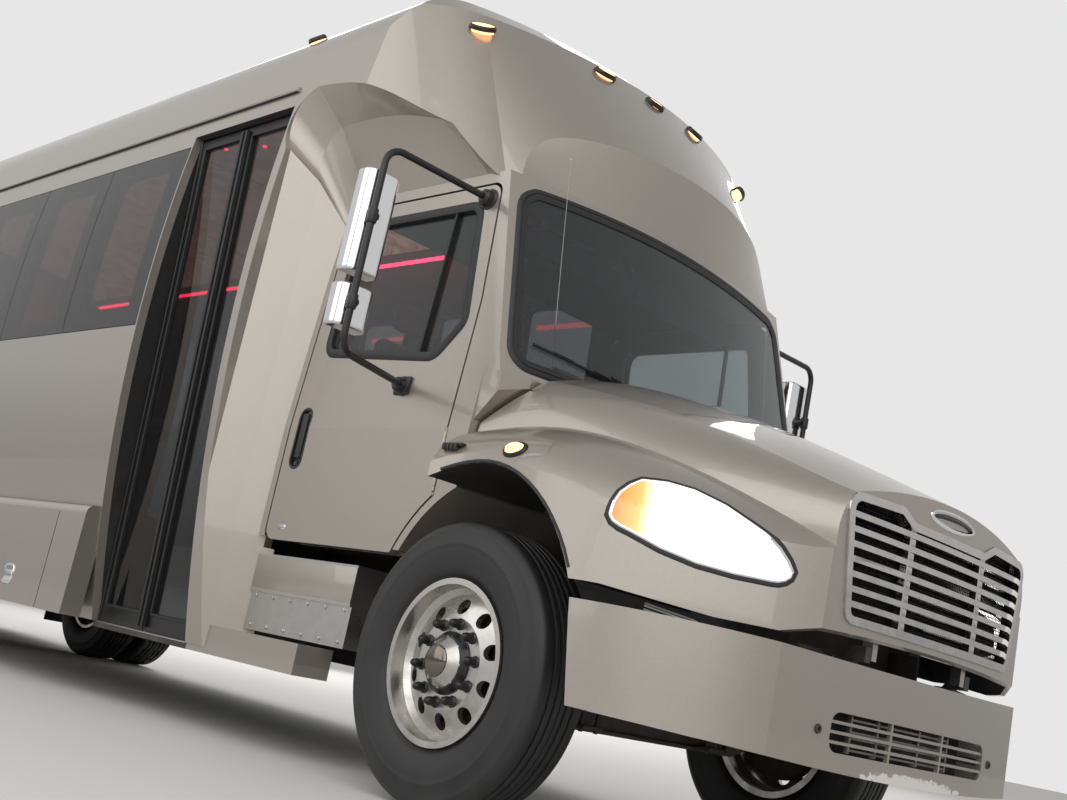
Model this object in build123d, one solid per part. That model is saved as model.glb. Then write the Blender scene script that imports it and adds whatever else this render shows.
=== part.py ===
from build123d import *
import math
import os

# A party bus: a coach body and a truck cab on a ladder frame.
# Millimetres. X runs forward, Y to the left, Z up from the floor.
# The origin is on the floor, under the middle of the whole vehicle.

# Whole vehicle
WHEELBASE = 6450
NOSE_REACH = 1265            # front axle to the foremost point, the grille
TAIL_REACH = 2750            # rear axle to the rearmost point, the rear bumper
FA = (WHEELBASE + TAIL_REACH - NOSE_REACH) / 2    # front axle along X
RA = FA - WHEELBASE                               # rear axle along X
TAIL = RA - TAIL_REACH                            # rearmost point along X

# Wheels and tyres
TYRE_R = 512
TYRE_W = 279
RIM_R = 300
RIM_W = 235
RIM_FLANGE_W = 16
BEAD_SEAT_R = 284
FRONT_RIM_Y = 1126           # outer rim flange of a front wheel
REAR_TWIN_Y = 920            # face where the twin wheels meet
TWIN_PITCH = 330
REAR_DISH = 140              # how far a rear wheel's disc is dished from its rim to its mounting face
AXLE_Z = TYRE_R

# Ladder frame
RAIL_Y = 432                 # outer face of a rail's web
RAIL_H = 260
RAIL_FLANGE = 80
RAIL_T = 12
RAIL_TOP = 900
RAIL_NOSE = 950              # front axle to the rail's front end

# Coach body
BODY_HALF = 1295
BARREL_R = 7800              # radius of the bowed side
BARREL_Z = 2062              # height of its widest point
ROOF_TOP = 3500
CORNER_R = 270               # roof corner
CROWN_R = 20000              # roof crown
BODY_BOTTOM = 367
WALL = 45
ROOF_SPLIT = 3040            # seam between side wall and roof
TAIL_GAP = 60                # body's back ahead of the bumper's back
TAIL_CAP = 260               # depth of the rear cap
CAP_BACK = FA - 1797         # rear edge of the front cap, which is the entrance's front edge
BODY_BACK = TAIL + TAIL_GAP
FLOOR_TOP = 1080
FLOOR_T = 100

# Window band of the coach
BAND_LOW = 1880
BAND_TOP = 2905
GLASS_T = 6
SEAT_GAP = 0.3               # what bonded or resting pieces leave between them
PANE_PITCH = 905
HOLE_W = 640
HOLE_LOW = 1940
HOLE_TOP = 2830

# Entrance
DOOR_W = 956                 # width of the opening
DOOR_TOP = 2962
LEAF_GAP = 8
LEAF_T = 35
LEAF_FRAME = 42
LEAF_LOW_Y = 1075            # outer face of the leaves at their foot
LEAF_LEAN = 2.8              # degrees that they lean outwards
LEAF_PIN_R = 5               # pivot pin at the foot of a leaf's hinge post
SILL_Z = 372                 # top of the bottom step plate
DOOR_BACK = CAP_BACK - DOOR_W
STEP_COUNT = 3
STEP_RUN = 205

# Skirts
SKIRT_Y = 1282
SKIRT_TOP = 926
SKIRT_T = 25
ARCH_R = 600                 # rear wheel arch

# Cab
CAB_HALF = 1020
CAB_TOP_HALF = 955
CAB_BREAK = 1400             # height where the cab's side starts to lean in
CAB_TOP = 2540
CAB_LOW = 900
CAB_BACK = FA - 1550
CAB_WALL = 40
FIREWALL = FA - 250
CAB_FLOOR = 1060
SCREEN_LOW = 1692            # lower edge of the windscreen opening
SCREEN_TOP = 2467            # upper corners of it
SCREEN_GLASS = 8
DOOR_T = 45
DOOR_GAP = 10
DOOR_LOW = 887
DOOR_HIGH = 2480
DOOR_FRONT = FA - 385
DOOR_REAR = FA - 1500

# Front wheel arch in the hood, and the hood itself
FRONT_ARCH_R = 620
FRONT_ARCH_X = 30            # ahead of the front axle
FRONT_ARCH_Z = 612
HOOD_T = 20
HOOD_PIVOT_X = 1185          # ahead of the front axle
HOOD_PIVOT_Z = 815

# Steering
KING_Y = 880
KING_R = 20
KING_BOSS = 40
KING_HALF = 60               # half height of the axle's eye
EAR_T = 35
ARM_L = 175
PIN_FIT = 0.05
SPINDLE_R = 30

parts = {}


def across(x):
    """Points (y, z) in the plane X = x."""
    return lambda y, z: (x, y, z)


def along(y):
    """Points (x, z) in the plane Y = y."""
    return lambda x, z: (x, y, z)


def level(z):
    """Points (x, y) in the plane Z = z."""
    return lambda x, y: (x, y, z)


def outline(place, start, *steps):
    """Closed face. A step is the next corner, or (point on the arc, arc's end)."""
    edges = []
    here = start
    for step in steps + (start,):
        if isinstance(step[0], tuple):
            edges.append(ThreePointArc(place(*here), place(*step[0]), place(*step[1])))
            here = step[1]
        elif math.dist(step, here) > 1e-6:
            edges.append(Line(place(*here), place(*step)))
            here = step
    return Face(Wire(edges))


def rounded(place, *corners):
    """Closed face through corners (a, b, radius)."""
    steps = []
    for i, (a, b, r) in enumerate(corners):
        before = corners[i - 1]
        after = corners[(i + 1) % len(corners)]
        if r == 0:
            steps.append((a, b))
            continue
        u = (before[0] - a, before[1] - b)
        v = (after[0] - a, after[1] - b)
        u = (u[0] / math.hypot(*u), u[1] / math.hypot(*u))
        v = (v[0] / math.hypot(*v), v[1] / math.hypot(*v))
        half = math.acos(max(-1, min(1, u[0] * v[0] + u[1] * v[1]))) / 2
        run = r / math.tan(half)
        w = (u[0] + v[0], u[1] + v[1])
        w = (w[0] / math.hypot(*w), w[1] / math.hypot(*w))
        reach = r / math.sin(half) - r
        mid = (a + w[0] * reach, b + w[1] * reach)
        steps.append((a + u[0] * run, b + u[1] * run))
        steps.append((mid, (a + v[0] * run, b + v[1] * run)))
    return outline(place, steps[0], *steps[1:])


def block(x0, x1, y0, y1, z0, z1):
    """Box between two corners."""
    return Pos((x0 + x1) / 2, (y0 + y1) / 2, (z0 + z1) / 2) * Box(abs(x1 - x0), abs(y1 - y0), abs(z1 - z0))


def rod(p, q, r):
    """Round bar from p to q."""
    axis = Vector(*q) - Vector(*p)
    return extrude(Plane(origin=p, z_dir=axis) * Circle(r), amount=axis.length)


def flip(shape):
    """The same piece on the vehicle's other side."""
    return mirror(shape, about=Plane.XZ)


def both(shape):
    """A piece and its mirror image."""
    return [shape, flip(shape)]


def join(shapes):
    """Fuse a list of solids."""
    total = shapes[0]
    for shape in shapes[1:]:
        total = total + shape
    return total


def ring(x, axle_y, z, profile):
    """Solid of revolution about an axle line along Y, from a profile (y, radius)."""
    face = outline(lambda y, r: (x, y, z + r), *profile)
    return revolve(face, axis=Axis((x, 0, z), (0, 1, 0)))


# Coach body: the section that its walls, roof and caps share

def side_y(z, inset=0.0):
    """Half width of the bowed side at height z."""
    return BODY_HALF - BARREL_R + math.sqrt((BARREL_R - inset) ** 2 - (z - BARREL_Z) ** 2)


def roof_corner():
    """Centre (y, z) of the roof corner, tangent to the side and to the crown."""
    z = ROOF_TOP - CORNER_R
    for _ in range(30):
        y = BODY_HALF - BARREL_R + math.sqrt((BARREL_R - CORNER_R) ** 2 - (z - BARREL_Z) ** 2)
        z = ROOF_TOP - CROWN_R + math.sqrt((CROWN_R - CORNER_R) ** 2 - y ** 2)
    return y, z


def body_section(x, inset, bottom):
    """Face of the body's outline at x, drawn in by inset."""
    cy, cz = roof_corner()
    low_angle = math.asin((cz - BARREL_Z) / (BARREL_R - CORNER_R))
    high_angle = math.atan2(cz - ROOF_TOP + CROWN_R, cy)
    r = CORNER_R - inset

    def corner(angle, side):
        return (side * (cy + r * math.cos(angle)), cz + r * math.sin(angle))

    foot = side_y(bottom, inset)
    waist_z = (bottom + cz) / 2
    waist = side_y(waist_z, inset)
    bend = (low_angle + high_angle) / 2
    return outline(
        across(x),
        (-foot, bottom),
        ((-waist, waist_z), corner(low_angle, -1)),
        (corner(bend, -1), corner(high_angle, -1)),
        ((0, ROOF_TOP - inset), corner(high_angle, 1)),
        (corner(bend, 1), corner(low_angle, 1)),
        ((waist, waist_z), (foot, bottom)),
    )


def body_solid(x0, x1, inset, bottom):
    return extrude(body_section(x0, inset, bottom), amount=x1 - x0, dir=(1, 0, 0))


def shell(x0, x1, outside, inside):
    """Wall of the body between two insets."""
    return body_solid(x0, x1, outside, BODY_BOTTOM) - body_solid(x0 - 1, x1 + 1, inside, BODY_BOTTOM - 50)


WALL_BACK = BODY_BACK + TAIL_CAP
coach_shell = shell(WALL_BACK, CAP_BACK, 0, WALL)
far = 2 * BODY_HALF

rear_arch = ring(RA, 0, AXLE_Z, [(-far, 0), (-far, ARCH_R), (far, ARCH_R), (far, 0)])
door_hole = block(DOOR_BACK, CAP_BACK + 1, -far, -BODY_HALF / 2, 0, DOOR_TOP)

BAND_BACK = WALL_BACK + 90
BAND_FRONT = {"right": DOOR_BACK - 12, "left": CAP_BACK - 60}


def pane_places(side):
    """Middle of each window along X, from the front of its band."""
    first = BAND_FRONT[side] - PANE_PITCH / 2
    count = int((BAND_FRONT[side] - BAND_BACK) // PANE_PITCH)
    return [first - i * PANE_PITCH for i in range(count)]


def side_box(side, x0, x1, z0, z1):
    """Box that takes in one side's wall."""
    y = (-far, -BODY_HALF / 2) if side == "right" else (BODY_HALF / 2, far)
    return block(x0, x1, y[0], y[1], z0, z1)


def side_hole(side, middle):
    """Rounded hole for one window."""
    y0 = -far if side == "right" else BODY_HALF / 2
    w = HOLE_W / 2
    face = rounded(along(y0), (middle - w, HOLE_LOW, 60), (middle + w, HOLE_LOW, 60),
                   (middle + w, HOLE_TOP, 60), (middle - w, HOLE_TOP, 60))
    return extrude(face, amount=far - BODY_HALF / 2, dir=(0, 1, 0))


glass_shell = shell(WALL_BACK, CAP_BACK, 0, GLASS_T)
rebate_shell = shell(WALL_BACK, CAP_BACK, -5, GLASS_T + SEAT_GAP)
panes = []
for side in ("right", "left"):
    wall = coach_shell & side_box(side, WALL_BACK, CAP_BACK, BODY_BOTTOM - 1, ROOF_SPLIT)
    places = pane_places(side)
    band_back = places[-1] - PANE_PITCH / 2
    wall = wall - (rebate_shell & side_box(side, band_back, BAND_FRONT[side], BAND_LOW, BAND_TOP))
    wall = wall - [side_hole(side, x) for x in places]
    wall = wall - rear_arch
    if side == "right":
        wall = wall - door_hole
    parts["side_wall_" + side] = wall
    for x in places:
        w = PANE_PITCH / 2 - 3
        panes.append(glass_shell & side_box(side, x - w, x + w, BAND_LOW + 4, BAND_TOP - 4))

roof = coach_shell & block(WALL_BACK, CAP_BACK, -far, far, ROOF_SPLIT, ROOF_TOP + 50)

# Rear cap with its window, and a slot behind the bumper for the frame's arm
TAIL_ARM_LOW = 510
TAIL_ARM_TOP = 610
REAR_PANE_HALF = 640
REAR_PANE_LOW = 2000
REAR_PANE_TOP = 2640
rear = body_solid(BODY_BACK, WALL_BACK, 0, BODY_BOTTOM)
rear = fillet(rear.faces().sort_by(Axis.X)[0].edges().filter_by(lambda e: e.center().Z > BODY_BOTTOM + 5), 90)
rear = rear - body_solid(BODY_BACK + WALL, WALL_BACK + 1, WALL, BODY_BOTTOM - 50)


def rear_window(x, length, grow):
    w = REAR_PANE_HALF + grow
    face = rounded(across(x), (-w, REAR_PANE_LOW - grow, 80), (w, REAR_PANE_LOW - grow, 80),
                   (w, REAR_PANE_TOP + grow, 80), (-w, REAR_PANE_TOP + grow, 80))
    return extrude(face, amount=length, dir=(1, 0, 0))


rear = rear - rear_window(BODY_BACK - 1, WALL + 10, 0) - rear_window(BODY_BACK - 1, GLASS_T + 1 + SEAT_GAP,
                                                                     30)
panes.append(rear_window(BODY_BACK, GLASS_T, 30 - SEAT_GAP))
parts["coach_windows"] = panes

# Tail lamps: two round red ones over a round clear one, each side, sunk in the rear cap
TAIL_LAMP_Y = 1020
TAIL_LAMP_R = 55
TAIL_LAMP_Z = (1010, 1140, 1270)
TAIL_LAMP_T = 30
tail_lamps = []
for z in TAIL_LAMP_Z:
    for y in (-TAIL_LAMP_Y, TAIL_LAMP_Y):
        tail_lamps.append(rod((BODY_BACK - 12, y, z), (BODY_BACK - 12 + TAIL_LAMP_T, y, z), TAIL_LAMP_R))
PLATE_HOLES = 178
PLATE_Z = 1120
rear = rear - tail_lamps
rear = rear - block(BODY_BACK - 1, BODY_BACK + WALL + 1, -RAIL_Y - 5, RAIL_Y + 5, TAIL_ARM_LOW - 5,
                    TAIL_ARM_TOP + 5)
rear = rear - [rod((BODY_BACK - 5, y, PLATE_Z), (BODY_BACK + WALL + 5, y, PLATE_Z), 3.5)
               for y in (-PLATE_HOLES / 2, PLATE_HOLES / 2)]
parts["tail_lamps"] = tail_lamps

# Front cap: the moulding over the cab, flared out to the body's width
BROW_Z = 2512                # its lower edge over the windscreen
CAP_T = 32


def cap_plan(z, centre, shoulder, bend, flank):
    """Plan outline at height z. Values are (x from the front axle, y): middle, front's end, corner, side."""
    def at(p, s):
        return (FA + p[0], s * p[1])
    back = CAP_BACK - 5
    return outline(
        level(z),
        (back, -BODY_HALF - 30),
        at(flank, -1),
        (at(bend, -1), at(shoulder, -1)),
        ((FA + centre, 0), at(shoulder, 1)),
        (at(bend, 1), at(flank, 1)),
        (back, BODY_HALF + 30),
    )


# Each form: height, middle x, then front's end, corner and side as (x, y)
BROW = [
    (BROW_Z, -300, (-418, 931), (-560, 1110), (-950, 1275)),
    (3000, -230, (-615, 931), (-730, 1090), (-1080, 1240)),
]
DOME = [
    (BROW_Z, 15, (-460, 931), (-600, 1110), (-1000, 1275)),
    (3380, -660, (-863, 931), (-956, 1064), (-1213, 1187)),
    (ROOF_TOP + 20, -875, (-1050, 920), (-1130, 1030), (-1340, 1130)),
]


def cap_form(rows, top):
    """Ruled form through plan outlines, carried down to the floor and up to top."""
    plans = [cap_plan(*row) for row in rows]
    form = loft(plans, ruled=True)
    form = form + extrude(plans[0], amount=BROW_Z - BODY_BOTTOM + 100, dir=(0, 0, -1))
    if top > rows[-1][0]:
        form = form + extrude(plans[-1], amount=top - rows[-1][0], dir=(0, 0, 1))
    return form


# The lip's sections, right side: y, then foot, bend, top, bow, front and tip as (x from front axle, z)
LIP = [
    (-BODY_HALF - 35, (-1735, 2720), (-1765, 2940), (-1640, 3046), (-1250, 2972), (-750, 2750), (-400, 2500)),
    (-1240, (-1735, 2720), (-1765, 2940), (-1640, 3046), (-1250, 2972), (-750, 2750), (-400, 2500)),
    (-1100, (-1640, 2600), (-1650, 2790), (-1560, 2870), (-1180, 2860), (-690, 2735), (-400, 2500)),
    (-940, (-1520, 2380), (-1493, 2470), (-1420, 2510), (-1000, 2530), (-550, 2528), (-420, 2500)),
]


def lip_tool(dx, dz):
    """What the flare leaves open beside the cab, right side: ruled from the lip to the cab's flank."""
    def profile(y, foot, bend, top, bow, front, tip):
        def at(p):
            return (FA + p[0] + dx, p[1] + dz)
        return outline(along(y), at((foot[0], 200)), at(foot), (at(bend), at(top)), (at(bow), at(front)),
                       at(tip), at((400, tip[1])), at((400, 200)))
    return loft([profile(*row) for row in LIP], ruled=True)


def cap_hull(inset, bottom):
    """The cap's form, filled, drawn in by inset."""
    form = body_solid(CAP_BACK - min(inset, 1), FA, inset, bottom)
    brow = Pos(-inset, 0, 0) * cap_form(BROW, ROOF_TOP + 20)
    return form & brow & (Pos(-inset, 0, -inset) * cap_form(DOME, ROOF_TOP + 20))


def cab_prism(grow, x0, x1, z0, z1):
    """The cab's outline from the front: upright sides that lean in above the break."""
    def y_at(z):
        if z < CAB_BREAK:
            return CAB_HALF + grow
        return CAB_HALF + grow - (CAB_HALF - CAB_TOP_HALF) * (z - CAB_BREAK) / (CAB_TOP - CAB_BREAK)
    face = outline(across(x0), (-y_at(z0), z0), (-y_at(CAB_BREAK), CAB_BREAK), (-y_at(z1), z1),
                   (y_at(z1), z1), (y_at(CAB_BREAK), CAB_BREAK), (y_at(z0), z0))
    return extrude(face, amount=x1 - x0, dir=(1, 0, 0))


inner_tool = lip_tool(-CAP_T, CAP_T)
hollow = cap_hull(CAP_T, BODY_BOTTOM - 50) - inner_tool - flip(inner_tool)
outer_tool = lip_tool(0, 0)
cap = cap_hull(0, BODY_BOTTOM) - hollow - outer_tool - flip(outer_tool)
cap = cap - block(FA - 1490, FA + 100, -960, 960, 0, BROW_Z)
cap = cap - cab_prism(SEAT_GAP, CAB_BACK - SEAT_GAP, FA, CAB_LOW - 50, CAB_TOP + SEAT_GAP)

# Foot of the flare, which runs on under the cab's step
FOOT_Y = 1100
FOOT_LOW = 340
FOOT_TOP = 467
FOOT_FRONT = FA - 930
foot = block(CAP_BACK + SEAT_GAP, FOOT_FRONT, -FOOT_Y, -FOOT_Y + 180, FOOT_LOW, FOOT_TOP)
foot = foot - block(CAP_BACK - 1, FOOT_FRONT - 20, -FOOT_Y + 20, -FOOT_Y + 200, FOOT_LOW - 1, FOOT_TOP - 20)
cap = cap + foot + flip(foot)

# Marker lamps: five across the brow and one on each flank, then the same at the back
LAMP_R = (52, 27)
LAMP_T = 34
# place (x from front axle, y, z) and facing (x, y, z)
FRONT_LAMPS = [
    (-618, 0, 3324, 0.62, 0, 0.78),
    (-640, -339, 3326, 0.62, -0.1, 0.78),
    (-640, 339, 3326, 0.62, 0.1, 0.78),
    (-815, -965, 3285, 0.5, -0.45, 0.74),
    (-815, 965, 3285, 0.5, 0.45, 0.74),
    (-1960, -1120, 3418, 0.0, -0.64, 0.77),
    (-1960, 1120, 3418, 0.0, 0.64, 0.77),
]
lamps = []
for x, y, z, nx, ny, nz in FRONT_LAMPS:
    facing = Vector(nx, ny, nz).normalized()
    sideways = Vector(-ny, nx, 0) if nx else Vector(1, 0, 0)
    base = Vector(FA + x, y, z) - facing * (LAMP_T / 2)
    lamps.append(extrude(Plane(origin=base, x_dir=sideways, z_dir=facing) * Ellipse(*LAMP_R), amount=LAMP_T))
cap = cap - lamps
parts["front_cap"] = cap
parts["coach_roof"] = roof - lamps
REAR_LAMP_Z = 3320
for y in (-850, -170, 0, 170, 850):
    lamp = extrude(Plane(origin=(BODY_BACK + 20, y, REAR_LAMP_Z), x_dir=(0, 1, 0), z_dir=(-1, 0, 0))
                   * Ellipse(*LAMP_R), amount=LAMP_T)
    lamps.append(lamp)
    rear = rear - lamp
parts["rear_cap"] = rear
parts["marker_lamps"] = lamps

# Coach floor on cross beams, with a housing over each pair of rear wheels
FLOOR_HALF = side_y(FLOOR_TOP - FLOOR_T, WALL) - SEAT_GAP
HOUSING_TOP = 1190
HOUSING_IN = 570
HOUSING_HALF = 640
HOUSING_T = 20
WELL_BACK = DOOR_BACK + 20
WELL_FRONT = CAP_BACK - 20
WELL_IN = -LEAF_LOW_Y + STEP_COUNT * STEP_RUN + 20
FLOOR_NECK = 900             # half width where the floor runs on into the cab
floor = block(BODY_BACK + WALL + SEAT_GAP, CAP_BACK - 2, -FLOOR_HALF, FLOOR_HALF, FLOOR_TOP - FLOOR_T,
              FLOOR_TOP)
floor = floor + block(CAP_BACK - 3, CAB_BACK - SEAT_GAP, -FLOOR_NECK, FLOOR_NECK, FLOOR_TOP - FLOOR_T,
                      FLOOR_TOP)
floor = floor - block(WELL_BACK, WELL_FRONT, -FLOOR_HALF - 1, WELL_IN, 0, FLOOR_TOP + 1)
floor = floor - block(DOOR_BACK - 26, CAP_BACK, -FLOOR_HALF - 1, -LEAF_LOW_Y + 62, 0, FLOOR_TOP + 1)
BEAM_COUNT = 12
beam_back = BODY_BACK + 250
beam_step = (CAP_BACK - 60 - beam_back) / (BEAM_COUNT - 1)
for i in range(BEAM_COUNT):
    x = beam_back + i * beam_step
    reach = 1080
    if abs(x - RA) < HOUSING_HALF + 60:
        reach = HOUSING_IN - 20
    right = reach if not WELL_BACK - 60 < x < WELL_FRONT + 60 else -WELL_IN - 30
    floor = floor + block(x - 30, x + 30, -right, reach, RAIL_TOP, FLOOR_TOP - FLOOR_T)
for s in (-1, 1):
    y = sorted((s * HOUSING_IN, s * (side_y(RAIL_TOP, WALL) - 1)))
    inner = sorted((s * (HOUSING_IN + HOUSING_T), s * (FLOOR_HALF + 50)))
    box_out = block(RA - HOUSING_HALF, RA + HOUSING_HALF, y[0], y[1], RAIL_TOP, HOUSING_TOP)
    box_in = block(RA - HOUSING_HALF + HOUSING_T, RA + HOUSING_HALF - HOUSING_T, inner[0], inner[1], 0,
                   HOUSING_TOP - HOUSING_T)
    floor = (floor + box_out) - box_in
parts["coach_floor"] = floor

# Entrance steps: treads and risers between two cheeks
cheek_t = 20
riser = (FLOOR_TOP - SILL_Z) / STEP_COUNT
steps = []
plate = 25
for i in range(STEP_COUNT):
    y0 = -LEAF_LOW_Y + 20 + LEAF_T + i * STEP_RUN if i else -LEAF_LOW_Y - 20
    y1 = -LEAF_LOW_Y + 20 + LEAF_T + (i + 1) * STEP_RUN - 40
    z = SILL_Z + i * riser - LEAF_GAP
    back, front = (WELL_BACK, WELL_FRONT) if i else (DOOR_BACK, CAP_BACK)
    steps.append(block(back + SEAT_GAP, front - SEAT_GAP, y0, y1, z - plate, z))
    top = SILL_Z + (i + 1) * riser - LEAF_GAP if i < STEP_COUNT - 1 else FLOOR_TOP - FLOOR_T / 2
    steps.append(block(WELL_BACK + SEAT_GAP, WELL_FRONT - SEAT_GAP, y1 - plate, y1, z - plate, top))
    if i:
        steps.append(block(WELL_BACK + SEAT_GAP, WELL_FRONT - SEAT_GAP, y0 - 60, y0 + 5, z - plate, z))
well = join(steps)
for x in (WELL_BACK + SEAT_GAP, WELL_FRONT - SEAT_GAP - cheek_t):
    slab = block(x, x + cheek_t, -LEAF_LOW_Y + LEAF_T + 25, WELL_IN - 6, SILL_Z - 33, FLOOR_TOP - 1)
    well = well + slab
rail_room = block(TAIL, FA, -RAIL_Y - 5, RAIL_Y, 0, RAIL_TOP + 1)
leaf_axis = Vector(0, -math.sin(math.radians(LEAF_LEAN)), math.cos(math.radians(LEAF_LEAN)))
for x in (DOOR_BACK + LEAF_GAP, CAP_BACK - LEAF_GAP):
    foot_at = Vector(x, -LEAF_LOW_Y, SILL_Z)
    well = well - rod(foot_at - leaf_axis * 60, foot_at, LEAF_PIN_R + PIN_FIT)
parts["entry_steps"] = well - rail_room

# Entrance surround: a black jamb each side and a header, from the wall's inside to behind the leaves
JAMB_T = 20
JAMB_GAP = 5.3
JAMB_BACK = 25               # how far it reaches in past a leaf's inner face
surround_back = DOOR_BACK - JAMB_GAP - JAMB_T
surround_front = CAP_BACK + JAMB_GAP + JAMB_T
lean_run = math.tan(math.radians(LEAF_LEAN))
reach_y = -LEAF_LOW_Y + LEAF_T + JAMB_BACK
behind_leaf = outline(across(surround_back - 1), (reach_y + 1000 * lean_run, SILL_Z - 1000),
                      (reach_y - 3000 * lean_run, SILL_Z + 3000), (far, SILL_Z + 3000), (far, SILL_Z - 1000))
surround_form = body_solid(surround_back, surround_front, WALL + SEAT_GAP, SILL_Z)
surround_form = surround_form - extrude(behind_leaf, amount=2000, dir=(1, 0, 0))
surround_form = surround_form & block(surround_back, surround_front, -far, 0, SILL_Z,
                                      DOOR_TOP + JAMB_GAP + JAMB_T)
surround_form = surround_form - block(DOOR_BACK - JAMB_GAP, CAP_BACK + JAMB_GAP, -far, 0, 0,
                                      DOOR_TOP + JAMB_GAP)
# the front jamb stands clear of the cap's foot and of the flare's underside
surround_form = surround_form - block(CAP_BACK, surround_front + 1, -far, 0, 0, FOOT_TOP + 1)
surround_form = surround_form - block(CAP_BACK, surround_front + 1, -far, -1183, 2700, DOOR_TOP + JAMB_GAP)
parts["entry_surround"] = surround_form

# Bench seats round the lounge
BENCH_D = 480
BENCH_H = 400
BENCH_BACK = 830
BACK_T = 120
bench_wall = side_y(FLOOR_TOP, WALL) - 12


def bench(x0, x1, side):
    """Seat and back rest along one side."""
    y = side * bench_wall
    face = rounded(across(x0), (y, FLOOR_TOP + SEAT_GAP, 0), (y - side * BENCH_D, FLOOR_TOP + SEAT_GAP, 0),
                   (y - side * BENCH_D, FLOOR_TOP + BENCH_H, 40), (y - side * BACK_T, FLOOR_TOP + BENCH_H, 0),
                   (y - side * BACK_T, FLOOR_TOP + BENCH_BACK, 40), (y, FLOOR_TOP + BENCH_BACK, 0))
    return extrude(face, amount=x1 - x0, dir=(1, 0, 0))


BENCH_REAR = BODY_BACK + WALL + 10
side_back = BENCH_REAR + BENCH_D + 10
housing_room = block(RA - HOUSING_HALF - 3, RA + HOUSING_HALF + 3, -far, far, 0, HOUSING_TOP + 3)
sofas = [bench(side_back, DOOR_BACK - 150, -1) - housing_room,
         bench(side_back, CAP_BACK - 400, 1) - housing_room]
rear_face = rounded(along(-bench_wall + 60), (BENCH_REAR, FLOOR_TOP + SEAT_GAP, 0),
                    (BENCH_REAR + BENCH_D, FLOOR_TOP + SEAT_GAP, 0),
                    (BENCH_REAR + BENCH_D, FLOOR_TOP + BENCH_H, 40),
                    (BENCH_REAR + BACK_T, FLOOR_TOP + BENCH_H, 0),
                    (BENCH_REAR + BACK_T, FLOOR_TOP + BENCH_BACK, 40),
                    (BENCH_REAR, FLOOR_TOP + BENCH_BACK, 0))
sofas.append(extrude(rear_face, amount=2 * bench_wall - 120, dir=(0, 1, 0)))
parts["sofas"] = sofas

# Skirts: upright panels outside the tucked-in lower body, each with a folded-in top and ends
def skirt(x0, x1):
    """Left skirt between two places along X."""
    def fold(grow, low):
        y = SKIRT_Y - grow
        return rounded(across(x0 + grow), (SKIRT_Y - 110, low, 0), (y, low, 0), (y, SKIRT_TOP - grow, 45),
                       (SKIRT_Y - 110, SKIRT_TOP - grow, 0))
    panel = extrude(fold(0, BODY_BOTTOM), amount=x1 - x0, dir=(1, 0, 0))
    panel = panel - extrude(fold(SKIRT_T, BODY_BOTTOM - 1), amount=x1 - x0 - 2 * SKIRT_T, dir=(1, 0, 0))
    arch = rear_arch
    return panel - arch - body_solid(x0 - 1, x1 + 1, -SEAT_GAP, BODY_BOTTOM - 60)


parts["skirt_panels"] = [skirt(BODY_BACK + 20, CAP_BACK - 10), flip(skirt(BODY_BACK + 20, DOOR_BACK - 8))]

# Bumpers
REAR_BUMPER_HALF = 1120
BUMPER_BACK_T = 12
BUMPER_LOW = 458             # its lower edge at the ends
BUMPER_SAG = 46              # how far the lower edge drops to the middle
BUMPER_TOP = 792
BUMPER_DIP = 24              # how far the top falls to the middle
BUMPER_T = 22
BUMPER_NOSE = 1240
BUMPER_CORNER = (1175, 780)  # where the front turns into the ends
BUMPER_BEND = (954, 1047)
BUMPER_END_X = 627
BUMPER_END_SLANT = 58        # how far forward the end's lower corner is
BUMPER_HALF = 1187
BUMPER_LIP = 50              # depth of the flange along its top
INTAKE_HALF = 505
INTAKE_LOW = 480
INTAKE_TOP = 608
SOCKET_Y = 565               # round holes beside it, and the tow sockets in them
SOCKET_Z = 543
SOCKET_R = 9
SOCKET_T = 5


def bumper_plan(inset, z, height):
    """Bumper's plan outline, closed at the back, as a solid of the given height."""
    i = inset
    corner = (FA + BUMPER_CORNER[0] - i, BUMPER_CORNER[1] - 0.4 * i)
    bend = (FA + BUMPER_BEND[0] - 0.7 * i, BUMPER_BEND[1] - 0.7 * i)
    end = (FA + BUMPER_END_X + 10, BUMPER_HALF - i)
    back = (FA + BUMPER_END_X - 60, BUMPER_HALF - i)

    def right(q):
        return (q[0], -q[1])
    face = outline(level(z), right(back), right(end), (right(bend), right(corner)),
                   ((FA + BUMPER_NOSE - i, 0), corner),
                   (bend, end), back)
    return extrude(face, amount=height, dir=(0, 0, 1))


BUMPER_REACH = BUMPER_HALF + 5
bumper_foot = BUMPER_LOW - BUMPER_SAG
bumper = bumper_plan(0, bumper_foot, BUMPER_TOP - bumper_foot)
end_cut = outline(along(-BUMPER_REACH), (FA + 500, 300),
                  (FA + BUMPER_END_X + BUMPER_END_SLANT, BUMPER_LOW - 1),
                  (FA + BUMPER_END_X, BUMPER_TOP + 1), (FA + 500, BUMPER_TOP + 1))
bumper = bumper - extrude(end_cut, amount=2 * BUMPER_REACH, dir=(0, 1, 0))
dip = outline(across(FA), (-BUMPER_REACH, BUMPER_TOP),
              ((0, BUMPER_TOP - BUMPER_DIP), (BUMPER_REACH, BUMPER_TOP)),
              (BUMPER_REACH, BUMPER_TOP + 50), (-BUMPER_REACH, BUMPER_TOP + 50))
sag = outline(across(FA), (-BUMPER_REACH, BUMPER_LOW), ((0, bumper_foot), (BUMPER_REACH, BUMPER_LOW)),
              (BUMPER_REACH, bumper_foot - 50), (-BUMPER_REACH, bumper_foot - 50))
bumper = bumper - extrude(dip, amount=1400, dir=(1, 0, 0)) - extrude(sag, amount=1400, dir=(1, 0, 0))
cavity = bumper_plan(BUMPER_T, bumper_foot - 1, BUMPER_TOP - bumper_foot + 60)
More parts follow.
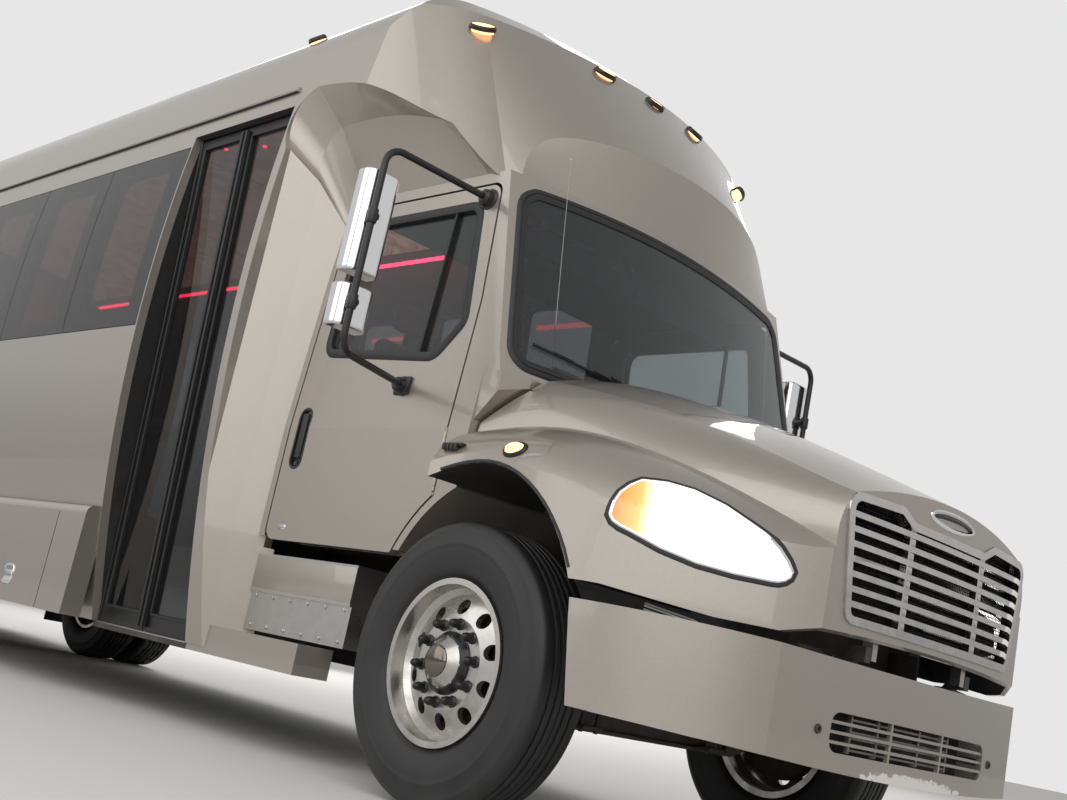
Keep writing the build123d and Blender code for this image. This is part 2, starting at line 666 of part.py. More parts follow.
bumper = bumper - (cavity - extrude(dip.moved(Location((0, 0, -BUMPER_T))), amount=1400, dir=(1, 0, 0)))
bumper = bumper - bumper_plan(BUMPER_LIP, 0, 1000)
intake = rounded(across(FA + 1000), (-INTAKE_HALF, INTAKE_LOW, 40), (INTAKE_HALF, INTAKE_LOW, 40),
                 (INTAKE_HALF, INTAKE_TOP, 40), (-INTAKE_HALF, INTAKE_TOP, 40))
intake = extrude(intake, amount=400, dir=(1, 0, 0))
bumper = bumper - intake
bars = []
for z in (512, 544, 576):
    bars.append(block(FA + 1000, FA + 1400, -INTAKE_HALF - 5, INTAKE_HALF + 5, z - 5, z + 5))
for y in (-INTAKE_HALF / 3, INTAKE_HALF / 3):
    bars.append(block(FA + 1000, FA + 1400, y - 6, y + 6, INTAKE_LOW - 3, INTAKE_TOP + 3))
for y in (-SOCKET_Y, SOCKET_Y):
    bumper = bumper - rod((FA + 900, y, SOCKET_Z), (FA + 1400, y, SOCKET_Z), SOCKET_R + SOCKET_T + 2)
bar_zone = bumper_plan(6, 0, 1000) - bumper_plan(20, 0, 1000)
bumper = bumper + (join(bars) & bar_zone)
parts["front_bumper"] = bumper

rear_bumper = block(TAIL, BODY_BACK - SEAT_GAP, -REAR_BUMPER_HALF, REAR_BUMPER_HALF, 470, 650)
rear_bumper = fillet(rear_bumper.edges().filter_by(Axis.Z).sort_by(Axis.X)[:2], 40)
rear_bumper = rear_bumper - block(TAIL + BUMPER_BACK_T, BODY_BACK, -REAR_BUMPER_HALF + 12,
                                  REAR_BUMPER_HALF - 12,
                                  482, 638)
parts["rear_bumper"] = rear_bumper

# Ladder frame
rail_back = BODY_BACK + WALL + SEAT_GAP
rail_front = FA + RAIL_NOSE
rail = block(rail_back, rail_front, RAIL_Y - RAIL_FLANGE, RAIL_Y, RAIL_TOP - RAIL_H, RAIL_TOP)
rail = rail - block(rail_back - 1, rail_front + 1, RAIL_Y - RAIL_FLANGE - 1, RAIL_Y - RAIL_T,
                    RAIL_TOP - RAIL_H + RAIL_T, RAIL_TOP - RAIL_T)
web_in = RAIL_Y - RAIL_T
# cross members: x, height of top below the rail's top, depth
CROSS = [
    (FA + RAIL_NOSE - 160, 175, 70),
    (CAB_BACK + 120, 20, 90),
    (CAB_BACK - 1600, 20, 90),
    (CAB_BACK - 3100, 20, 90),
    (RA + 720, 20, 90),
    (RA - 720, 20, 90),
    (rail_back + 66, 12, 236),
]
member_end = web_in - SEAT_GAP
parts["cross_members"] = [block(x - 35, x + 35, -member_end, member_end, RAIL_TOP - drop - depth,
                                RAIL_TOP - drop)
                          for x, drop, depth in CROSS]
horn = block(rail_front - 40, FA + 1300, RAIL_Y - RAIL_FLANGE, RAIL_Y - RAIL_T, 610, 700)
horn = horn & bumper_plan(BUMPER_T + SEAT_GAP, 0, 1000)
SPRING_HALF = 650
REAR_SPRING_HALF = 700
REAR_SPRING_Y = 500
SPRING_W = 75
SPRING_T = 60
FRONT_SPRING_Z = AXLE_Z - 60
REAR_SPRING_Z = AXLE_Z + 72


def leaf_pack(x, y, z, half, rise, width, lift=0):
    """Bowed pack of leaves; with a lift, the room that it and its travel need below its top face."""
    low = z - 100 if lift else z
    face = outline(along(y - width / 2), (x - half, low + rise), ((x, low), (x + half, low + rise)),
                   (x + half, z + rise + SPRING_T - 15 + lift),
                   ((x, z + SPRING_T + lift), (x - half, z + rise + SPRING_T - 15 + lift)))
    return extrude(face, amount=width, dir=(0, 1, 0))


FRONT_SPRING = (FA, RAIL_Y - RAIL_FLANGE / 2, FRONT_SPRING_Z, SPRING_HALF, 115)
REAR_SPRING = (RA, REAR_SPRING_Y, REAR_SPRING_Z, REAR_SPRING_HALF, 125)
hangers = []
for x in (-SPRING_HALF + 40, SPRING_HALF - 40):
    hanger = block(FA + x - 30, FA + x + 30, RAIL_Y - RAIL_FLANGE, RAIL_Y, FRONT_SPRING_Z + 120,
                   RAIL_TOP - RAIL_H + 5)
    hangers.append(hanger - leaf_pack(*FRONT_SPRING, SPRING_W + 40, SEAT_GAP))
for x in (-REAR_SPRING_HALF + 40, REAR_SPRING_HALF - 40):
    hanger = block(RA + x - 30, RA + x + 30, RAIL_Y - 5, REAR_SPRING_Y + SPRING_W / 2, REAR_SPRING_Z + 130,
                   REAR_SPRING_Z + 230)
    hangers.append(hanger - leaf_pack(*REAR_SPRING, SPRING_W + 90, SEAT_GAP))
# hood hinge: a plate up behind the bumper's top, with the pin
hinge_x = FA + HOOD_PIVOT_X
plate = outline(along(RAIL_Y - RAIL_FLANGE - 30), (hinge_x - 90, 640), (hinge_x - 24, 640),
                (hinge_x - 24, 785),
                (hinge_x + 20, 785), (hinge_x + 20, HOOD_PIVOT_Z + 22), (hinge_x - 30, HOOD_PIVOT_Z + 22),
                (hinge_x - 90, 760))
plate = extrude(plate, amount=32, dir=(0, 1, 0))
pin = rod((hinge_x, 283, HOOD_PIVOT_Z), (hinge_x, RAIL_Y - RAIL_FLANGE, HOOD_PIVOT_Z), 10)
# tow sockets, which end level with the bumper's face in its two round holes
SOCKET_FRONT = FA + 1212
SOCKET_BACK = FA + 1060
SOCKET_OUT = SOCKET_R + SOCKET_T
socket_tube = rod((SOCKET_BACK, SOCKET_Y, SOCKET_Z), (SOCKET_FRONT, SOCKET_Y, SOCKET_Z), SOCKET_OUT)
socket_arm = block(SOCKET_BACK, SOCKET_BACK + 12, RAIL_Y - RAIL_FLANGE, SOCKET_Y + SOCKET_OUT + 2,
                   SOCKET_Z - SOCKET_OUT - 2, 700)
socket_bore = rod((SOCKET_BACK + 12, SOCKET_Y, SOCKET_Z), (SOCKET_FRONT + 1, SOCKET_Y, SOCKET_Z), SOCKET_R)
one_side = join([rail, horn, plate, pin, socket_tube, socket_arm] + hangers) - socket_bore
# tail arm on each rail, out to the rear bumper
ARM_Y = RAIL_Y - RAIL_FLANGE
tail_leg = block(rail_back, rail_back + 30, ARM_Y, RAIL_Y, TAIL_ARM_LOW, RAIL_TOP - RAIL_H + 15)
tail_arm = block(TAIL + BUMPER_BACK_T + SEAT_GAP, rail_back + 30, ARM_Y, RAIL_Y, TAIL_ARM_LOW, TAIL_ARM_TOP)
parts["chassis_frame"] = both(join([one_side, tail_leg, tail_arm]))


# Springs
parts["leaf_springs"] = both(leaf_pack(*FRONT_SPRING, SPRING_W)) + both(leaf_pack(*REAR_SPRING, SPRING_W))

# Front axle: a dropped beam with an eye at each end for the king pin
beam = outline(across(FA - 45), (0, AXLE_Z - 150), (560, AXLE_Z - 150), (KING_Y - 75, AXLE_Z - KING_HALF),
               (KING_Y - 30, AXLE_Z - KING_HALF), (KING_Y - 30, AXLE_Z + KING_HALF), (640, AXLE_Z - 40),
               (540, AXLE_Z - 60), (0, AXLE_Z - 60))
beam = extrude(beam, amount=90, dir=(1, 0, 0))
beam = beam + rod((FA, KING_Y, AXLE_Z - KING_HALF), (FA, KING_Y, AXLE_Z + KING_HALF), KING_BOSS)
beam = beam - rod((FA, KING_Y, AXLE_Z - 100), (FA, KING_Y, AXLE_Z + 100), KING_R + PIN_FIT)
beam = beam - block(FA - 50, FA - 15, -1, 520, AXLE_Z - 135, AXLE_Z - 75)
beam = beam - block(FA + 15, FA + 50, -1, 520, AXLE_Z - 135, AXLE_Z - 75)
parts["front_axle"] = beam + flip(beam)

# Rear axle: tubes, the round final drive and a spindle for each pair of wheels
AXLE_TUBE = 70
tube = rod((RA, 0, AXLE_Z), (RA, 690, AXLE_Z), AXLE_TUBE) + rod((RA, 690, AXLE_Z), (RA, 1040, AXLE_Z), 45)
bowl = rod((RA - 110, 0, AXLE_Z), (RA + 130, 0, AXLE_Z), 185)
AXLE_NOSE = 320              # front of the final drive's nose
nose = extrude(Plane(origin=(RA + 130, 0, AXLE_Z), z_dir=(1, 0, 0)) * Circle(120), amount=AXLE_NOSE - 130,
               taper=15)
saddle = block(RA - 60, RA + 60, REAR_SPRING_Y - 50, REAR_SPRING_Y + 50, AXLE_Z, REAR_SPRING_Z - SEAT_GAP)
parts["rear_axle"] = join([tube, flip(tube), bowl, nose, saddle, flip(saddle)])

# Engine with its gearbox, one plain block; the radiator; the drive shaft
ENGINE_BACK = FA - 215
engine = block(ENGINE_BACK, FA + 720, -330, 330, 560, 1290)
GEARBOX_BACK = ENGINE_BACK - 900
box = rod((GEARBOX_BACK, 0, 720), (ENGINE_BACK + 10, 0, 760), 150)
mount_pad = block(FA + 60, FA + 180, -web_in + SEAT_GAP, web_in - SEAT_GAP, 640 + RAIL_T + 10, 760)
parts["engine_block"] = engine + box + mount_pad
COOLER_BACK = FA + RAIL_NOSE - 195
rail_in = RAIL_Y - RAIL_FLANGE
cooler = block(COOLER_BACK, COOLER_BACK + 110, -rail_in + 6, rail_in - 6, RAIL_TOP - 175 + SEAT_GAP,
               RAIL_TOP + 6)
cooler = cooler + block(COOLER_BACK, COOLER_BACK + 110, -500, 500, RAIL_TOP + 5, 1290)
cooler = cooler - block(COOLER_BACK + 85, COOLER_BACK + 111, -470, 470, RAIL_TOP + 35, 1260)
cooler = cooler + join([block(COOLER_BACK + 84, COOLER_BACK + 100, -471, 471, z, z + 8)
                        for z in range(970, 1250, 55)])
parts["cooler_pack"] = cooler
SHAFT_R = 48
SHAFT_RISE = 204
shaft_back = RA + AXLE_NOSE + SEAT_GAP
# its ends are square to it, so they stand off a little more than the gap
tip_back = SHAFT_R * SHAFT_RISE / (GEARBOX_BACK - shaft_back)
shaft = rod((shaft_back + tip_back, 0, AXLE_Z), (GEARBOX_BACK - 1.7 * SEAT_GAP, 0, AXLE_Z + SHAFT_RISE),
            SHAFT_R)
parts["drive_shaft"] = shaft

# Exhaust and fuel tank, hung from the rails
MUFFLER_X = DOOR_BACK - 900
muffler = rod((MUFFLER_X - 450, -690, 640), (MUFFLER_X + 450, -690, 640), 130)
pipe = rod((MUFFLER_X - 1050, -690, 600), (MUFFLER_X - 440, -690, 600), 45)
strap = block(MUFFLER_X - 30, MUFFLER_X + 30, -700, -RAIL_Y - SEAT_GAP, 660, 720)
parts["exhaust"] = muffler + pipe + strap
tank = block(CAB_BACK - 1900, CAB_BACK - 700, 520, 1080, 470, 850)
tank = fillet(tank.edges().filter_by(Axis.X), 70)
tank = tank + [block(x, x + 60, RAIL_Y + SEAT_GAP, 600, 700, 780) for x in (CAB_BACK - 1650, CAB_BACK - 1000)]
parts["fuel_tank"] = tank


# Wheels, as solids of revolution: (distance in from the outer flange, radius)
def wheel(x, flange_y, side, disc, disc_in):
    """Rim and disc. side is +1 where the outer flange faces +Y. disc is the depth of the mounting face."""
    def at(w, r):
        return (side * (flange_y - w), r)
    seat = BEAD_SEAT_R
    flange = RIM_FLANGE_W
    barrel = [at(0, RIM_R), at(flange - 4, RIM_R), at(flange, seat), at(60, seat), at(80, seat - 22),
              at(150, seat - 22), at(170, seat), at(RIM_W - flange, seat), at(RIM_W - flange + 4, RIM_R),
              at(RIM_W, RIM_R), at(RIM_W, seat - 12), at(176, seat - 12), at(156, seat - 34),
              at(76, seat - 34),
              at(56, seat - 12), at(0, seat - 6)]
    body = ring(x, 0, AXLE_Z, barrel)
    plate = ring(x, 0, AXLE_Z, [at(disc_in, seat - 32), at(disc, 165), at(disc, 85), at(disc + 22, 85),
                                at(disc + 22, 160), at(disc_in + 24, seat - 32)])
    body = body + plate
    holes = []
    for i in range(10):
        a = math.radians(36 * i + 18)
        px, pz = x + 205 * math.cos(a), AXLE_Z + 205 * math.sin(a)
        holes.append(rod((px, side * (flange_y - disc - 90), pz), (px, side * (flange_y - disc + 150), pz),
                         29))
    return body - holes


def tyre(x, middle):
    """Plain closed tyre with a flat tread and bowed walls, its beads on the rim's seats."""
    half = TYRE_W / 2
    bead = RIM_W / 2 - RIM_FLANGE_W - SEAT_GAP
    seat = BEAD_SEAT_R + SEAT_GAP
    tread = half - 42
    shoulder = (half - 28, TYRE_R - 14)
    return ring(x, 0, AXLE_Z, [
        (middle - bead, seat), (middle - bead, RIM_R + 1),
        ((middle - half, 400), (middle - shoulder[0], shoulder[1])),
        (middle - tread, TYRE_R), (middle + tread, TYRE_R), (middle + shoulder[0], shoulder[1]),
        ((middle + half, 400), (middle + bead, RIM_R + 1)), (middle + bead, seat)])


for tag, s in (("right", -1), ("left", 1)):
    rim = wheel(FA, FRONT_RIM_Y, s, 34, 75)
    # hub: bearing barrel round the spindle, flange and domed cap
    cap_out = FRONT_RIM_Y + 26
    hub = ring(FA, 0, AXLE_Z, [(s * 960, SPINDLE_R + PIN_FIT), (s * 960, 85), (s * (FRONT_RIM_Y - 56), 100),
                               (s * (FRONT_RIM_Y - 30), 108), (s * (FRONT_RIM_Y - 10), 92), (s * cap_out, 55),
                               (s * (cap_out + 4), 0), (s * 1100, 0), (s * 1100, SPINDLE_R + PIN_FIT)])
    parts["wheel_front_" + tag] = rim + hub
    parts["tyre_front_" + tag] = tyre(FA, s * (FRONT_RIM_Y - RIM_W / 2))

    outer_mid = REAR_TWIN_Y + TWIN_PITCH / 2
    inner_mid = REAR_TWIN_Y - TWIN_PITCH / 2
    outer_flange = outer_mid + RIM_W / 2
    inner_flange = -(inner_mid - RIM_W / 2)
    outer = wheel(RA, outer_flange, s, outer_flange - REAR_TWIN_Y - 22,
                  outer_flange - REAR_TWIN_Y - REAR_DISH)
    inner = wheel(RA, inner_flange, -s, inner_flange + REAR_TWIN_Y - 22,
                  inner_flange + REAR_TWIN_Y - REAR_DISH)
    hub = ring(RA, 0, AXLE_Z, [(s * 720, 45 + PIN_FIT), (s * 720, 105), (s * 900, 100), (s * 1010, 90),
                               (s * 1060, 80), (s * 1075, 60), (s * 1075, 0), (s * 1050, 0),
                               (s * 1050, 45 + PIN_FIT)])
    parts["wheels_rear_" + tag] = outer + inner + hub
    parts["tyres_rear_" + tag] = [tyre(RA, s * outer_mid), tyre(RA, s * inner_mid)]

    # Knuckle: two ears round the axle's eye, king pin, web, spindle and steering arm
    ears = []
    for z in (AXLE_Z + KING_HALF + 1, AXLE_Z - KING_HALF - 1 - EAR_T):
        ears.append(rod((FA, s * KING_Y, z), (FA, s * KING_Y, z + EAR_T), KING_BOSS))
        ears.append(block(FA - KING_BOSS, FA + KING_BOSS, s * KING_Y, s * 950, z, z + EAR_T))
    low = AXLE_Z - KING_HALF - 1 - EAR_T
    high = AXLE_Z + KING_HALF + 1 + EAR_T
    pin = rod((FA, s * KING_Y, low), (FA, s * KING_Y, high), KING_R)
    web = block(FA - KING_BOSS, FA + KING_BOSS, s * 925, s * 950, low, high)
    spindle = rod((FA, s * 940, AXLE_Z), (FA, s * 1090, AXLE_Z), SPINDLE_R)
    arm = block(FA - ARM_L, FA, s * KING_Y - 22, s * KING_Y + 22, low, low + EAR_T)
    arm = arm + rod((FA - ARM_L, s * KING_Y, low), (FA - ARM_L, s * KING_Y, low + EAR_T), 28)
    eye = 12 + (PIN_FIT if s < 0 else 1.5)
    arm = arm - rod((FA - ARM_L, s * KING_Y, low - 5), (FA - ARM_L, s * KING_Y, low + EAR_T + 5), eye)
    parts["knuckle_" + tag] = join(ears + [pin, web, spindle]) + arm

ROD_Z = AXLE_Z - KING_HALF - 1 - EAR_T - 21
tie = rod((FA - ARM_L, -KING_Y, ROD_Z), (FA - ARM_L, KING_Y, ROD_Z), 16)
for s in (-1, 1):
    tie = tie + rod((FA - ARM_L, s * KING_Y, ROD_Z - 20), (FA - ARM_L, s * KING_Y, ROD_Z + 20), 26)
    tie = tie + rod((FA - ARM_L, s * KING_Y, ROD_Z), (FA - ARM_L, s * KING_Y, ROD_Z + 21 + EAR_T + 8), 12)
parts["tie_rod"] = tie


# Cab: upright lower box, then a bowed front that leans back with the windscreen
# height, then x from the front axle in the middle and 1000 out to each side
SCREEN_PLAN = [
    (1590, -5, -150),
    (2610, -318, -447),
]


def screen_form(dx):
    """Cab above the cowl: ruled between two bowed plans, moved back by dx."""
    def plan(z, centre, corner):
        return outline(level(z), (CAB_BACK - 5, -1100), (FA + corner - dx, -1000),
                       ((FA + centre - dx, 0), (FA + corner - dx, 1000)), (CAB_BACK - 5, 1100))
    return loft([plan(*row) for row in SCREEN_PLAN], ruled=True)


cab_out = cab_prism(0, CAB_BACK, FIREWALL, CAB_LOW, CAB_BREAK + 240)
cab_out = cab_out + (cab_prism(0, CAB_BACK, FA + 10, CAB_BREAK + 200, CAB_TOP) & screen_form(0))
cab_in = cab_prism(-CAB_WALL, CAB_BACK - 1, FIREWALL - CAB_WALL, CAB_FLOOR, CAB_BREAK + 240)
cab_in = cab_in + (cab_prism(-CAB_WALL, CAB_BACK - 1, FA + 10, CAB_BREAK + 239, CAB_TOP - CAB_WALL)
                   & screen_form(CAB_WALL))


cowl_plan = outline(level(1400), (CAB_BACK, -1100), (FA - 150, -1000), ((FA - 5, 0), (FA - 150, 1000)),
                    (CAB_BACK, 1100))
cowl_side = outline(along(-CAB_HALF), (FIREWALL - 1, 1440), (FA - 115, 1600), (FA - 115, 1640),
                    (FIREWALL - 1, 1640))
cowl_side = extrude(cowl_side, amount=2 * CAB_HALF, dir=(0, 1, 0)) & extrude(cowl_plan, amount=300,
                                                                             dir=(0, 0, 1))
cowl_side = (cowl_side & cab_prism(0, FIREWALL - 2, FA, 1410, 1700)) - block(FIREWALL - 2, FA, -850, 850,
                                                                             1400, 1601)
cab_out = cab_out + cowl_side


def screen_opening(grow):
    """Windscreen outline seen from the front, as a solid along X."""
    b = SCREEN_LOW - grow
    low_y = 950 + grow
    high_y = 893 + grow
    face = outline(across(FA - 700), (-low_y + 50, b), ((0, b - 18), (low_y - 50, b)),
                   ((low_y - 12, b + 12), (low_y, b + 55)), (high_y, SCREEN_TOP - 75 + grow),
                   ((high_y - 18, SCREEN_TOP - 20 + grow), (high_y - 75, SCREEN_TOP - 4 + grow)),
                   ((0, SCREEN_TOP + 38 + grow), (-high_y + 75, SCREEN_TOP - 4 + grow)),
                   ((-high_y + 18, SCREEN_TOP - 20 + grow), (-high_y, SCREEN_TOP - 75 + grow)),
                   (-low_y, b + 55), ((-low_y + 12, b + 12), (-low_y + 50, b)))
    return extrude(face, amount=1000, dir=(1, 0, 0))


# Door outline: x, z and corner radius; its lower front corner follows the wheel arch
def door_outline(y, grow):
    arch = FRONT_ARCH_R + 45 - grow
    cx, cz = FA + FRONT_ARCH_X, FRONT_ARCH_Z
    low = DOOR_LOW - grow
    front = DOOR_FRONT + grow
    low_x = cx - math.sqrt(arch ** 2 - (low - cz) ** 2)
    front_z = cz + math.sqrt(arch ** 2 - (front - cx) ** 2)
    turn = (math.atan2(low - cz, low_x - cx) % (2 * math.pi) + math.atan2(front_z - cz, front - cx)) / 2
    mid = (cx + arch * math.cos(turn), cz + arch * math.sin(turn))
    top = DOOR_HIGH + grow
    rear = DOOR_REAR - grow
    return outline(along(y), (rear + 60, low), (low_x, low), (mid, (front, front_z)), (front, 1950),
                   (FA - 440 + grow, top - 60), ((FA - 458 + grow, top - 18), (FA - 500 + grow, top)),
                   (rear + 100, top), ((rear + 30, top - 30), (rear, top - 100)), (rear, low + 60),
                   ((rear + 18, low + 18), (rear + 60, low)))


def door_window(y, grow):
    """Side window outline: its lower edge drops towards the front."""
    return rounded(along(y), (FA - 545 + grow, 2392 + grow, 70), (FA - 452 + grow, 1860, 60),
                   (FA - 590, 1712 - grow, 90), (FA - 1385 - grow, 1762 - grow, 60),
                   (FA - 1395 - grow, 2392 + grow, 80))


door_room = extrude(door_outline(-CAB_HALF - 50, DOOR_GAP), amount=240, dir=(0, 1, 0))
LINER_T = 14                 # thickness of the wheel housings


def arch_drum(r):
    """Drum across the vehicle, concentric with the front wheel arches."""
    return ring(FA + FRONT_ARCH_X, 0, FRONT_ARCH_Z, [(-far, 0), (-far, r), (far, r), (far, 0)])


front_arch = arch_drum(FRONT_ARCH_R)
cab_in = cab_in - arch_drum(FRONT_ARCH_R + LINER_T)
cab = cab_out - cab_in - door_room - flip(door_room) - screen_opening(0) - front_arch

# Door hinges: a pin between two knuckles on the cab, with the door's own knuckle between them
HINGE_HEIGHTS = (1185, 1345)
KNUCKLE_R = DOOR_GAP - SEAT_GAP
KNUCKLE_H = 20
DOOR_PIN_R = 5


def knuckle_rod(z, low, high, r):
    return rod((DOOR_FRONT, -CAB_HALF, z + low), (DOOR_FRONT, -CAB_HALF, z + high), r)


door_notch = []
door_knuckle = []
for z in HINGE_HEIGHTS:
    for low in (-2 * KNUCKLE_H, KNUCKLE_H):
        lug = block(DOOR_FRONT, DOOR_FRONT + DOOR_GAP + 2, -CAB_HALF, -CAB_HALF + KNUCKLE_R, z + low,
                    z + low + KNUCKLE_H) + knuckle_rod(z, low, low + KNUCKLE_H, KNUCKLE_R)
        cab = cab + lug + flip(lug)
        door_notch.append(knuckle_rod(z, low - 1, low + KNUCKLE_H + 1, KNUCKLE_R + 1))
    pin = knuckle_rod(z, -2 * KNUCKLE_H, 2 * KNUCKLE_H, DOOR_PIN_R)
    cab = cab + pin + flip(pin)
    door_knuckle.append(knuckle_rod(z, 1 - KNUCKLE_H, KNUCKLE_H - 1, KNUCKLE_R))
pin_bores = [knuckle_rod(z, -3 * KNUCKLE_H, 3 * KNUCKLE_H, DOOR_PIN_R + PIN_FIT) for z in HINGE_HEIGHTS]
parts["cab_shell"] = cab
glass = (screen_form(0) - screen_form(SCREEN_GLASS)) & screen_opening(-SEAT_GAP)
glass = glass & block(FA - 600, FA + 50, -1000, 1000, SCREEN_LOW - 40, CAB_TOP)
parts["windshield"] = glass

# Cab doors: the slice of the cab's side inside the door outline, with its window cut
MIRROR_Y = 1492
MIRROR_ARM_X = FA - 530
MIRROR_FRONT = FA - 555
MIRROR_REAR = FA - 650
for tag, s in (("right", -1), ("left", 1)):
    slab = cab_prism(0, CAB_BACK, FIREWALL, DOOR_LOW - 20, CAB_TOP) - cab_prism(-DOOR_T, CAB_BACK - 1,
                                                                                FIREWALL + 1,
                                                                              DOOR_LOW - 30, CAB_TOP + 20)
    outline_solid = extrude(door_outline(-CAB_HALF - 50, 0), amount=240, dir=(0, 1, 0))
    window = extrude(door_window(-CAB_HALF - 50, 0), amount=240, dir=(0, 1, 0))
    pocket_x = FA - 1400
    handle = rounded(along(-CAB_HALF - 50), (pocket_x - 45, 1215, 40), (pocket_x + 45, 1215, 40),
                     (pocket_x + 45, 1490, 40), (pocket_x - 45, 1490, 40))
    pocket = extrude(handle, amount=50 + 22, dir=(0, 1, 0))
    door = join([(slab & outline_solid) - window - pocket - door_notch] + door_knuckle) - pin_bores
    pane_zone = extrude(door_window(-CAB_HALF - 50, -SEAT_GAP), amount=240, dir=(0, 1, 0))
    pane = (cab_prism(-18, CAB_BACK, FIREWALL, 1600, CAB_TOP) - cab_prism(-24, CAB_BACK - 1, FIREWALL + 1,
                                                                          1590,
                                                                         CAB_TOP + 20)) & pane_zone
    # mirror: a bent tube between two mounts on the door, with a tall housing and a small one clamped to it
    path = FilletPolyline((FA - 500, -CAB_TOP_HALF - 10, 2412), (MIRROR_ARM_X, -MIRROR_Y, 2428),
                          (MIRROR_ARM_X, -MIRROR_Y, 1580), (FA - 735, -CAB_HALF + 12, 1583), radius=70)
    start = Plane(origin=path @ 0, z_dir=path % 0)
    arm = sweep(start * Circle(13), path=path) - cab_prism(SEAT_GAP, CAB_BACK, FIREWALL, 1000, CAB_TOP)
    mirror_set = arm
    for low, high, clamp_z in ((1905, 2335, 2130), (1680, 1855, 1775)):
        face = rounded(level(low), (MIRROR_REAR, -1530, 15), (MIRROR_FRONT, -1530, 45),
                       (MIRROR_FRONT, -1365, 45),
                       (MIRROR_REAR, -1365, 15))
        housing = extrude(face, amount=high - low, dir=(0, 0, 1))
        ends = housing.faces().sort_by(Axis.Z)
        housing = fillet(ends[0].edges() + ends[-1].edges(), 12)
        clamp = rod((MIRROR_ARM_X, -MIRROR_Y, clamp_z), (MIRROR_FRONT - 10, -MIRROR_Y + 15, clamp_z), 12)
        mirror_set = mirror_set + housing + clamp
    shapes = {"cab_door_": door, "door_glass_": pane, "mirror_": mirror_set}
    for name, shape in shapes.items():
        parts[name + tag] = shape if s < 0 else flip(shape)

# Cab steps: a plated box under each door
STEP_FRONT = FA - 780
STEP_BACK = CAB_BACK + 5
step = block(STEP_BACK, STEP_FRONT, -1000, -RAIL_Y - SEAT_GAP, 652, 822)
step = step + block(STEP_BACK, STEP_FRONT, -988, -700, 482, 660)
step = step - cap
parts["cab_steps"] = both(step)

# Inside the cab
dash = rounded(along(-900), (FIREWALL - CAB_WALL - SEAT_GAP, 1290, 0),
               (FIREWALL - CAB_WALL - SEAT_GAP, 1610, 0),
               (FA - 420, 1610, 40), (FA - 560, 1500, 50), (FA - 520, 1290, 40))
dash = extrude(dash, amount=1800, dir=(0, 1, 0))
WHEEL_Y = 520
hub_at = Vector(FA - 680, WHEEL_Y, 1560)
tilt = Vector(-0.5, 0, 0.866)
column = rod(tuple(hub_at - tilt * 150), tuple(hub_at), 30)
column_root = rod((FA - 560, WHEEL_Y, 1430), tuple(hub_at - tilt * 100), 34)
ring_plane = Plane(origin=hub_at, z_dir=tilt)
steer_ring = ring_plane * Torus(225, 15)
spokes = [ring_plane * (Rot(0, 0, a) * Pos(110, 0, -8) * Box(215, 34, 14)) for a in (90, 210, 330)]
boss = ring_plane * Cylinder(60, 40)
parts["steering_wheel"] = join([steer_ring, boss, column] + spokes) + (column_root - dash)
parts["dashboard"] = dash
seats = []
for y in (-WHEEL_Y, WHEEL_Y):
    pedestal = block(FA - 1310, FA - 1060, y - 130, y + 130, CAB_FLOOR + SEAT_GAP, 1330)
    cushion = rounded(along(y - 240), (FA - 1390, 1320, 40), (FA - 930, 1320, 40), (FA - 930, 1440, 60),
                      (FA - 1390, 1430, 40))
    cushion = extrude(cushion, amount=480, dir=(0, 1, 0))
    rest = rounded(along(y - 235), (FA - 1390, 1410, 40), (FA - 1270, 1410, 30), (FA - 1370, 2180, 50),
                   (FA - 1480, 2180, 50))
    rest = extrude(rest, amount=470, dir=(0, 1, 0))
    seats.append(join([pedestal, cushion, rest]))
parts["cab_seats"] = seats

# Wipers and the whip aerial, on the cowl in front of the windscreen
WIPER_R = 7


def on_screen(y, z):
    """Point just ahead of the windscreen, far enough for a straight blade to clear its bow."""
    t = (z - SCREEN_PLAN[0][0]) / (SCREEN_PLAN[1][0] - SCREEN_PLAN[0][0])
    middle = SCREEN_PLAN[0][1] * (1 - t) + SCREEN_PLAN[1][1] * t
    corner = SCREEN_PLAN[0][2] * (1 - t) + SCREEN_PLAN[1][2] * t
    return (FA + middle + (corner - middle) * (y / 1000) ** 2 + WIPER_R + 5, y, z)


fittings = []
for y in (-60, 620):
    fittings.append(rod(on_screen(y, 1690), on_screen(y - 330, 1790), WIPER_R))
parts["cowl_fittings"] = fittings


# Hood: one moulding with both front fenders
# x from the front axle, crown z, then (y, z) of shoulder, valley, fender crest and side, then the foot's y
HOOD = [
    (-260, 1812, (850, 1672), (990, 1385), (1085, 1345), (1182, 1220), 1190),
    (250, 1737, (740, 1602), (885, 1425), (1040, 1385), (1182, 1230), 1192),
    (750, 1580, (640, 1475), (800, 1310), (960, 1268), (1130, 1080), 1150),
    (1050, 1470, (600, 1370), (705, 1195), (815, 1140), (945, 1000), 965),
    (1300, 1375, (575, 1290), (610, 1080), (650, 1030), (710, 930), 725),
]
HOOD_FOOT = 640
HOOD_LOW = 852
HOOD_LOW_NOSE = 815
HOOD_NOSE = NOSE_REACH - 8
GRILLE_CORNER_X = 1222


